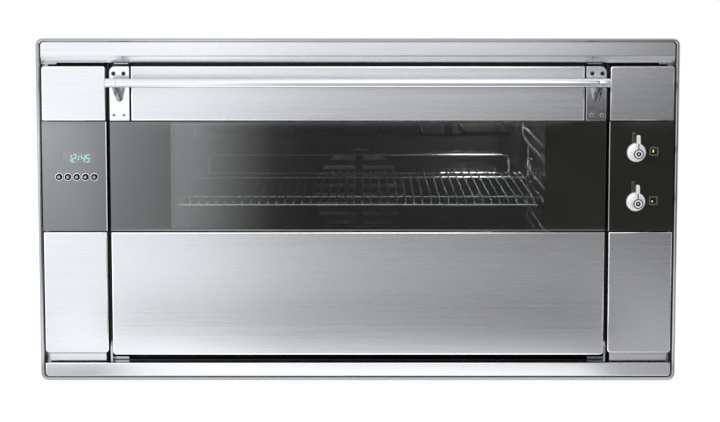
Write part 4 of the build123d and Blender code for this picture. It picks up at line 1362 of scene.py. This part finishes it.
@dataclass
class Indicator(Assembly):
    """Square lens beside a knob: a grey moulded edge, a dark face and a small lit bar."""

    name: str
    x: float
    z: float
    glow_x: float
    glow_z: float
    glow_width: float
    glow_height: float
    replaced: tuple[str, ...] = ()
    size: float = 12.2
    corner: float = 2.1
    border: float = 1.3
    recess: float = 0.5
    proud: float = 1.0
    back: float = 7.0
    edge: float = 0.3
    light_gap: float = 0.3
    light_edge: float = 0.15

    def build(self) -> None:
        """Models the lens and its light."""
        half = self.size / 2
        limits = Span.around(self.x, self.z, half, half, -self.proud, self.back)
        lens = Workpiece.block(f"{self.name}_lens", limits)
        for z in (limits.z_low, limits.z_high):
            for x in (limits.x_low, limits.x_high):
                lens.round_edges(at(x=x, z=z), self.corner, 4)
        lens.round_edges(at(depth=-self.proud), self.edge, 2)
        lens.select_front(at(depth=-self.proud))
        lens.sink(self.border, self.recess)
        on_floor = at(depth=self.recess - self.proud)
        lens.paint(
            self.finishes.lens_edge,
            self.finishes.indicator_lens,
            lambda face: face.normal.y < -FLAT and on_floor(unplace(face.center)),
        )
        lens.finish(self.finishes.lens_edge, "oven", self.replaced)
        x, z, front = self.x + self.glow_x, self.z + self.glow_z, self.light_gap - self.proud
        glow_span = Span.around(x, z, self.glow_width / 2, self.glow_height / 2, front, 0.0)
        glow = Workpiece.block(f"{self.name}_light", glow_span)
        glow.round_edges(at(depth=front), self.light_edge, 2)
        glow.finish(self.finishes.lamp_glow, "oven")


@dataclass
class ControlPanel(Assembly):
    """Right column's glass: two knobs, two indicators and near-white strips on both columns' glass edges, a painted
    highlight.
    """

    knob_x: float = 388.7
    upper_z: float = 323.3
    lower_z: float = 254.0
    indicator_x: float = 413.3
    indicator_rise: float = 1.5
    trim_x: Pair = (350.9, 352.1)
    trim_z: Pair = (212.7, 366.3)
    trim_proud: float = 0.2
    trim_back: float = 3.0
    trim_edge: float = 0.4

    def build(self) -> None:
        """Models the knobs, glass edges and indicators."""
        Knob(self.finishes, "thermostat_knob", self.knob_x, self.upper_z).build()
        Knob(self.finishes, "selector_knob", self.knob_x, self.lower_z).build()
        limits = (*self.trim_x, -self.trim_proud, self.trim_back, *self.trim_z)
        # Near-white strips along the glass edges: a painted highlight
        trim = Workpiece.block("glass_edge_trim_right", Span(*limits))
        trim.round_edges(at(depth=-self.trim_proud), self.trim_edge, 3)
        trim.finish_pair("glass_edge_trim_left", self.finishes.edge, "oven")
        # Place of the lit bar in its lens, its width and its height
        for name, z, light, replaced in (
            ("upper_indicator", self.upper_z, (-0.9, 0.5, 1.7, 3.8), ("indicator_lenses",)),
            ("lower_indicator", self.lower_z, (-1.5, -0.9, 1.5, 2.2), ()),
        ):
            place_of = (self.indicator_x, z + self.indicator_rise)
            Indicator(self.finishes, name, *place_of, *light, replaced).build()


@dataclass
class WireShelf(Assembly):
    """Chromed shelf: rim with round corners, two cross bars, lengthwise wires and a raised back rail."""

    rim_radius: float = 2.5
    wire_radius: float = 1.3
    wires: int = 42
    pitch: float = 12.32
    bars: Pair = (65.0, 318.0)
    rail_half: float = 244.0
    rail_rise: float = 30.0
    rail_radius: float = 2.0
    rail_corner: float = 10.0
    top_above: float = 24.0
    front_drop: float = 4.3
    slope_length: float = 45.0
    corner: float = 8.0
    wire_corner: float = 6.0
    weld: float = 0.4

    def build(self) -> None:
        """Models the rim, and joins the wires, bars and rail into a second piece."""
        span = Span.of("wire_shelf")
        half = span.x_high - self.rim_radius
        front, back = span.front + self.rim_radius, span.back - self.rim_radius
        z = span.z_high - self.top_above
        low, level, top = z - self.front_drop, front + self.slope_length, z + self.rail_rise
        # Starts and ends near the middle of the front bar, so that all corners are bent
        route = [(0.0, front, low), (half, front, low), (half, level, z), (half, back, z)]
        route += [(-half, back, z), (-half, level, z), (-half, front, low), (-1.0, front, low)]
        shelf = Workpiece.wire("shelf_of_chromed_wire", route, self.rim_radius, self.corner)
        pieces = []
        for depth in (span.front + offset for offset in self.bars):
            pieces.append(Workpiece.wire("cross_bar", [(-half, depth, z), (half, depth, z)], self.rim_radius))
        rail = self.rail_half
        rail_route = [(-rail, back, z), (-rail, back, top), (rail, back, top), (rail, back, z)]
        pieces.append(Workpiece.wire("back_rail", rail_route, self.rail_radius, self.rail_corner))
        lift = z + self.rim_radius + self.wire_radius - self.weld
        first = -(self.wires - 1) / 2 * self.pitch
        lengthwise = [(first, front, lift - self.front_drop), (first, level, lift), (first, back, lift)]
        wires = Workpiece.wire("lengthwise_wires", lengthwise, self.wire_radius, self.wire_corner)
        wires.modify(
            "ARRAY",
            count=self.wires,
            use_relative_offset=False,
            use_constant_offset=True,
            constant_offset_displace=(self.pitch * MM, 0, 0),
        )
        wires.join(*pieces)
        wires.finish(self.finishes.chromed_wire, "shelf", (), 60)
        shelf.finish(self.finishes.polished_chrome, "shelf", ("wire_shelf",), 60)


@dataclass
class SideRacks(Assembly):
    """Two uprights with pairs of runners on each wall of the cavity."""

    wire_radius: float = 2.3
    bend: float = 4.0
    runner_x: float = 269.4
    upright_x: float = 273.6
    wall_x: float = 277.0
    uprights: Pair = (84.0, 418.0)
    front: float = 66.0
    back: float = 436.0
    splay: float = 14.0
    lowest_z: float = 120.5
    level: float = 60.5
    levels: int = 4
    pair: float = 20.0
    stud_inset: float = 12.0
    joggle_x: float = 264.5
    joggle_z: Pair = (299.0, 311.0)

    def build(self) -> None:
        """Models the right rack and its mirror image."""
        span = Span.of("side_racks")
        low, high = span.z_low, span.z_high
        side = self.upright_x
        start, end = self.joggle_z
        wires = []
        # The front upright is nearly straight, and the rear one steps inwards
        for depth, top_x in zip(self.uprights, (side - 0.01, self.joggle_x)):
            route = [(side, depth, low), (side, depth, start), (top_x, depth, end), (top_x, depth, high)]
            wires.append(Workpiece.wire("upright", route, self.wire_radius, self.bend))
            for x, z in ((side, low + self.stud_inset), (top_x, high - self.stud_inset)):
                wires.append(Workpiece.wire("stud", [(x, depth, z), (self.wall_x, depth, z)], self.wire_radius))
        for level in range(self.levels):
            for z in (self.lowest_z + level * self.level, self.lowest_z + level * self.level + self.pair):
                runner = self.runner_x
                route = [(runner, self.back, z), (runner, self.front + self.splay, z), (side, self.front, z)]
                wires.append(Workpiece.wire("runner", route, self.wire_radius, self.bend))
        rack = wires[0]
        rack.object.name = "side_rack_right"
        rack.join(*wires[1:])
        rack.finish_pair("side_rack_left", self.finishes.chromed_wire, "oven", ("side_racks",), 60)


@dataclass
class LampCover(Assembly):
    """Domed glass cover over the oven lamp, and the lit bulb behind it."""

    dome: float = 3.0
    bulb_radius: float = 6.5
    bulb_length: float = 6.0
    bulb_crown: float = 2.6
    bulb_gap: float = 1.0

    def build(self) -> None:
        """Models the cover and lights the lamp."""
        span = Span.of("lamp_lens")
        _, depth, z = span.centre()
        width, _, height = span.size()
        cover = Workpiece.rod("lamp_glass_cover", span.centre(), height / 2, width, Along.X, 48)
        cover.round_edges(at(x=span.x_low), self.dome, 5)
        cover.finish(self.finishes.clear_glass, "oven", ("lamp_lens",), 50)
        near_end = span.x_high + self.bulb_gap
        middle = (near_end + self.bulb_length / 2, depth, z)
        bulb = Workpiece.rod("lamp_bulb", middle, self.bulb_radius, self.bulb_length, Along.X, 24)
        bulb.round_edges(at(x=near_end), self.bulb_crown, 5)
        bulb.finish(self.finishes.bulb, "oven", (), 60)


@dataclass
class Studio:
    """Pale floor, soft light and the boards that the front mirrors, with sizes in metres.

    Each set of levels holds places from left to right on the board and the light there.
    """

    floor_size: float = 60.0
    floor_glow: float = 0.52
    ambient: float = 0.55
    board_distance: float = 1.15
    board_height: float = 2.4
    board_width: float = 4.4
    brightest: float = 3.0
    coolness: float = 0.05
    steel_coolness: float = 0.01
    glass_height: Pair = (0.04, 0.28)
    bright_above: float = 0.52
    foot_reach: float = 0.115
    dim_reach: Pair = (0.295, 0.57)
    dim_height: Pair = (0.86, 1.1)
    dim_across: Pair = (-0.41, 0.41)
    dimming: float = 0.1
    plate_across: Pair = (0.41, 0.53)
    plate_height: Pair = (0.26, 0.35)
    steel_levels: Levels = (
        *((-1.5, 1.0), (-0.8, 1.3), (-0.62, 1.32), (-0.5, 1.28), (-0.43, 1.75), (-0.35, 1.85)),
        *((-0.27, 1.8), (-0.19, 1.42), (-0.11, 1.05), (0.08, 0.87), (0.28, 0.7), (0.36, 0.62)),
        *((0.52, 0.7), (0.58, 0.46), (0.66, 0.22), (0.85, 0.16), (1.3, 0.3)),
    )
    low_glass_levels: Levels = (
        *((-1.2, 1.2), (-0.62, 1.5), (-0.56, 1.4), (-0.48, 0.96), (-0.38, 0.7), (-0.32, 0.53)),
        *((-0.27, 0.36), (-0.22, 0.19), (-0.17, 0.08), (-0.1, 0.06), (0.75, 0.06), (1.3, 0.9)),
    )
    high_glass_levels: Levels = (
        *((-1.2, 1.6), (-0.65, 2.5), (-0.57, 1.98), (-0.48, 1.22), (-0.38, 0.8), (-0.32, 0.72)),
        *((-0.27, 0.44), (-0.22, 0.24), (-0.17, 0.1), (-0.1, 0.06), (0.75, 0.06), (1.3, 0.9)),
    )
    foot_levels: Levels = (
        *((-0.6, 1.0), (-0.45, 0.8), (-0.38, 0.66), (-0.31, 1.45), (-0.2, 1.82), (0.1, 1.82)),
        *((0.25, 1.7), (0.32, 1.55), (0.37, 0.7), (0.45, 0.56), (0.7, 0.5)),
    )
    upper_levels: Levels = (
        *((-1.5, 1.4), (-0.45, 1.4), (-0.32, 1.45), (-0.1, 2.0), (0.1, 2.5), (0.3, 2.8)),
        *((0.4, 2.3), (0.49, 0.9), (0.56, 0.22), (0.9, 0.2), (1.5, 0.6)),
    )

    def build(self) -> None:
        """Sets the stage."""
        self.world()
        self.floor()
        self.board()
        self.area("soft_top_light", (0.3, -0.6, 2.6), (0.0, 0.0, 0.2), 2.2, 30.0)
        self.area("soft_front_light", (-1.8, -2.6, 1.7), (0.0, 0.0, 0.25), 1.3, 34.0)
        self.area("cavity_light", tuple(place(185, 370, 366)), tuple(place(185, 430, 200)), 0.09, 1.4)

    def seen_directly(self, nodes: Nodes) -> Socket:
        """Tells the rays that look at something from the ones that light it.

        Args:
            nodes: The nodes of what is seen.

        Returns:
            One for a ray from the camera, off a gloss or through glass, and zero for others.
        """
        rays = nodes.add("LightPath").outputs
        mirrored = nodes.math("MAXIMUM", rays["Is Camera Ray"], rays["Is Glossy Ray"])
        return nodes.math("MAXIMUM", mirrored, rays["Is Transmission Ray"])

    def world(self) -> None:
        """Makes the surroundings white to look at and softer as a light."""
        world = bpy.data.worlds.new("studio")
        bpy.context.scene.world = world
        nodes = Nodes(world)
        limits = {"To Min": self.ambient, "To Max": 1.0}
        light = nodes.add("MapRange", {**limits, "Value": self.seen_directly(nodes)})
        nodes.feed(
            nodes.tree.nodes["Background"], {"Strength": light.outputs["Result"], "Color": (1, 1, 1, 1)}
        )

    def floor(self) -> None:
        """Lays a white floor that keeps the oven's shadow."""
        Workpiece.clear()
        bpy.ops.mesh.primitive_plane_add(size=self.floor_size, location=(0, 0, -0.0005))
        floor = bpy.context.object
        floor.name = "studio_floor"
        material = bpy.data.materials.new("white paper")
        nodes = Nodes(material)
        nodes.shade({"Base Color": linear("#F2F2F2"), "Roughness": 0.9, "Specular IOR Level": 0.0})
        glow = nodes.math("MULTIPLY", self.seen_directly(nodes), self.floor_glow)
        nodes.shade({"Emission Color": (1, 1, 1, 1), "Emission Strength": glow})
        floor.data.materials.append(material)

    def board(self) -> None:
        """Stands a folded board before the oven, which only its reflections see."""
        Workpiece.clear()
        front = FACE_Y - self.board_distance
        bpy.ops.mesh.primitive_plane_add(size=1, location=(0, 0, 0))
        board = bpy.context.object
        board.name = "reflection_board"
        bpy.ops.object.mode_set(mode="EDIT")
        bpy.ops.mesh.select_all(action="SELECT")
        bpy.ops.transform.resize(value=(self.board_width, self.board_distance - 0.02, 1))
        bpy.ops.transform.translate(value=(0, (front + FACE_Y) / 2, 0.002))
        bpy.ops.mesh.select_mode(type="EDGE")
        mesh = bmesh.from_edit_mesh(board.data)
        far = min(vert.co.y for vert in mesh.verts)
        for edge in mesh.edges:
            edge.select_set(all(vert.co.y < far + 1e-4 for vert in edge.verts))
        mesh.select_flush_mode()
        bmesh.update_edit_mesh(board.data)
        bpy.ops.mesh.extrude_region_move(TRANSFORM_OT_translate={"value": (0, 0, self.board_height)})
        bpy.ops.object.mode_set(mode="OBJECT")
        board.data.materials.append(self.board_light())
        board.visible_camera = False
        board.visible_diffuse = False
        board.visible_shadow = False

    def board_light(self) -> Material:
        """Makes the board bright at the left and above, and dim where the dark glass mirrors it.

        Returns:
            The board's material.
        """
        material = bpy.data.materials.new("graded reflection board")
        nodes = Nodes(material)
        nodes.tree.nodes.remove(nodes.shader)
        across, depth, height = nodes.add("SeparateXYZ", {"Vector": nodes.where()}).outputs
        low, high = self.glass_height
        rise = nodes.add("MapRange", {"From Min": low, "From Max": high, "Value": height})
        glass = nodes.blend(
            rise.outputs["Result"],
            self.graded(nodes, across, self.low_glass_levels, self.coolness),
            self.graded(nodes, across, self.high_glass_levels, self.coolness),
        )
        steel, foot, upper = (
            self.graded(nodes, across, levels, self.steel_coolness)
            for levels in (self.steel_levels, self.foot_levels, self.upper_levels)
        )
        near_edge, far_edge = self.dim_reach
        below_bar = nodes.math(
            "MULTIPLY",
            nodes.between(depth, (FACE_Y - far_edge, FACE_Y - near_edge), 0.04),
            nodes.between(across, self.dim_across, 0.02),
        )
        beside_plate = nodes.math(
            "MULTIPLY",
            nodes.between(across, self.plate_across, 0.015),
            nodes.between(height, self.plate_height, 0.015),
        )
        steel = self.dimmed(nodes, self.dimmed(nodes, steel, below_bar), beside_plate)
        upper = self.dimmed(nodes, upper, nodes.between(height, self.dim_height, 0.03))
        light = nodes.blend(nodes.between(height, self.glass_height, 0.02), steel, glass)
        light = nodes.blend(nodes.step(depth, FACE_Y - self.foot_reach, 0.03), light, foot)
        light = nodes.blend(nodes.step(height, self.bright_above, 0.1), light, upper)
        glow = nodes.add("Emission", {"Strength": self.brightest, "Color": light})
        nodes.feed(nodes.tree.nodes["Material Output"], {"Surface": glow.outputs[0]})
        material.cycles.emission_sampling = "NONE"
        return material

    def dimmed(self, nodes: Nodes, light: Socket, share: Socket) -> Socket:
        """Dims a light as a share grows."""
        factor = nodes.add("MapRange", {"To Min": 1.0, "To Max": self.dimming, "Value": share}).outputs["Result"]
        return nodes.add("VectorMath", {"operation": "SCALE", 0: light, "Scale": factor}).outputs["Vector"]

    def graded(self, nodes: Nodes, across: Socket, levels: Levels, coolness: float) -> Socket:
        """Light that changes from left to right, a little cooler where it is strong.

        Args:
            nodes: The board's nodes.
            across: Place from left to right.
            levels: Places in metres and the level of light there.
            coolness: How much bluer the strong light is.

        Returns:
            The light, as a share of the brightest.
        """
        half = self.board_width / 2
        share = nodes.add("MapRange", {"From Min": -half, "From Max": half, "Value": across})
        stops = []
        for x, level in levels:
            value, cool = level / self.brightest, coolness * min(level, 1.0)
            stops.append(((x + half) / self.board_width, (value * (1 - cool), value, value * (1 + cool), 1.0)))
        return nodes.ramp(share.outputs["Result"], stops)

    def area(self, name: str, spot: Point, towards: Point, size: float, power: float) -> None:
        """Hangs a square light, which reflections see unless it is a large one.

        Args:
            name: The light's name.
            spot: Where it hangs, in metres.
            towards: What it looks at.
            size: Its side.
            power: Its power in watts.
        """
        data = bpy.data.lights.new(name, "AREA")
        data.size = size
        data.energy = power
        lamp = bpy.data.objects.new(name, data)
        lamp.location = spot
        lamp.rotation_euler = (Vector(towards) - Vector(spot)).to_track_quat("-Z", "Y").to_euler()
        lamp.visible_glossy = size < 2.0
        bpy.context.collection.objects.link(lamp)


@dataclass
class PhotoCamera:
    """Camera at the photograph's viewing angle."""

    picture_width: float = 720.0
    picture_height: float = 422.0
    metres_per_pixel: float = 0.0014006
    distance: float = 2.7
    slope: float = 0.1017
    shift_x: float = -0.0069
    shift_y: float = -0.07
    sensor: float = 36.0
    target_x: float = 357.9
    target_y: float = 210.9

    def build(self) -> None:
        """Places the camera so that the middle of the front lies where the photograph has it."""
        focal = self.distance / self.metres_per_pixel
        data = bpy.data.cameras.new("photo_camera")
        data.sensor_width = self.sensor
        data.lens = self.sensor * focal / self.picture_width
        data.shift_x = self.shift_x
        data.shift_y = self.shift_y
        camera = bpy.data.objects.new("photo_camera", data)
        forward = Vector((0, 1, -self.slope)).normalized()
        right = Vector((1, 0, 0))
        up = right.cross(forward)
        axis_x = self.picture_width / 2 - self.shift_x * self.picture_width
        axis_y = self.picture_height / 2 + self.shift_y * self.picture_width
        aside = (self.target_x - axis_x) * self.metres_per_pixel
        below = (self.target_y - axis_y) * self.metres_per_pixel
        middle = Vector((0, FACE_Y, (CAD_BOX[0][2] + CAD_BOX[1][2]) / 2))
        camera.location = middle - forward * self.distance - right * aside + up * below
        camera.rotation_euler = forward.to_track_quat("-Z", "Y").to_euler()
        bpy.context.collection.objects.link(camera)
        bpy.context.scene.camera = camera


class Oven:
    """The whole oven, built sub-assembly by sub-assembly."""

    def __init__(self) -> None:
        """Makes the materials and dresses the frame's nodes."""
        self.finishes = Finishes()
        self.finishes.dress_frame()

    def build(self) -> None:
        """Builds each sub-assembly in order."""
        for node, body, rounded, sizes in (
            ("left_upper_panel", "oven", Rounded.TOP, {"corner": 3.5}),
            ("right_upper_panel", "oven", Rounded.TOP, {"corner": 3.5}),
            ("left_lower_panel", "oven", Rounded.BOTTOM, {}),
            ("right_lower_panel", "oven", Rounded.BOTTOM, {}),
            ("bottom_fascia", "oven", Rounded.BOTTOM, {"fold": 1.2}),
            ("door_top_strip", "door", Rounded.NONE, {}),
            ("door_lower_panel", "door", Rounded.BOTTOM, {}),
        ):
            PressedPanel(self.finishes, node, body, rounded, **sizes).build()
        for kind in (
            TopFascia, PlinthStrips, Handle, DoorGlass, Clock, ControlPanel, WireShelf, SideRacks, LampCover
        ):
            kind(self.finishes).build()


def main() -> None:
    """Builds the camera, the stage and the oven."""
    logging.basicConfig(level=logging.INFO, format="%(name)s: %(message)s")
    bpy.context.scene.view_settings.view_transform = "Standard"
    PhotoCamera().build()
    Studio().build()
    Oven().build()


if __name__ == "__main__":
    main()
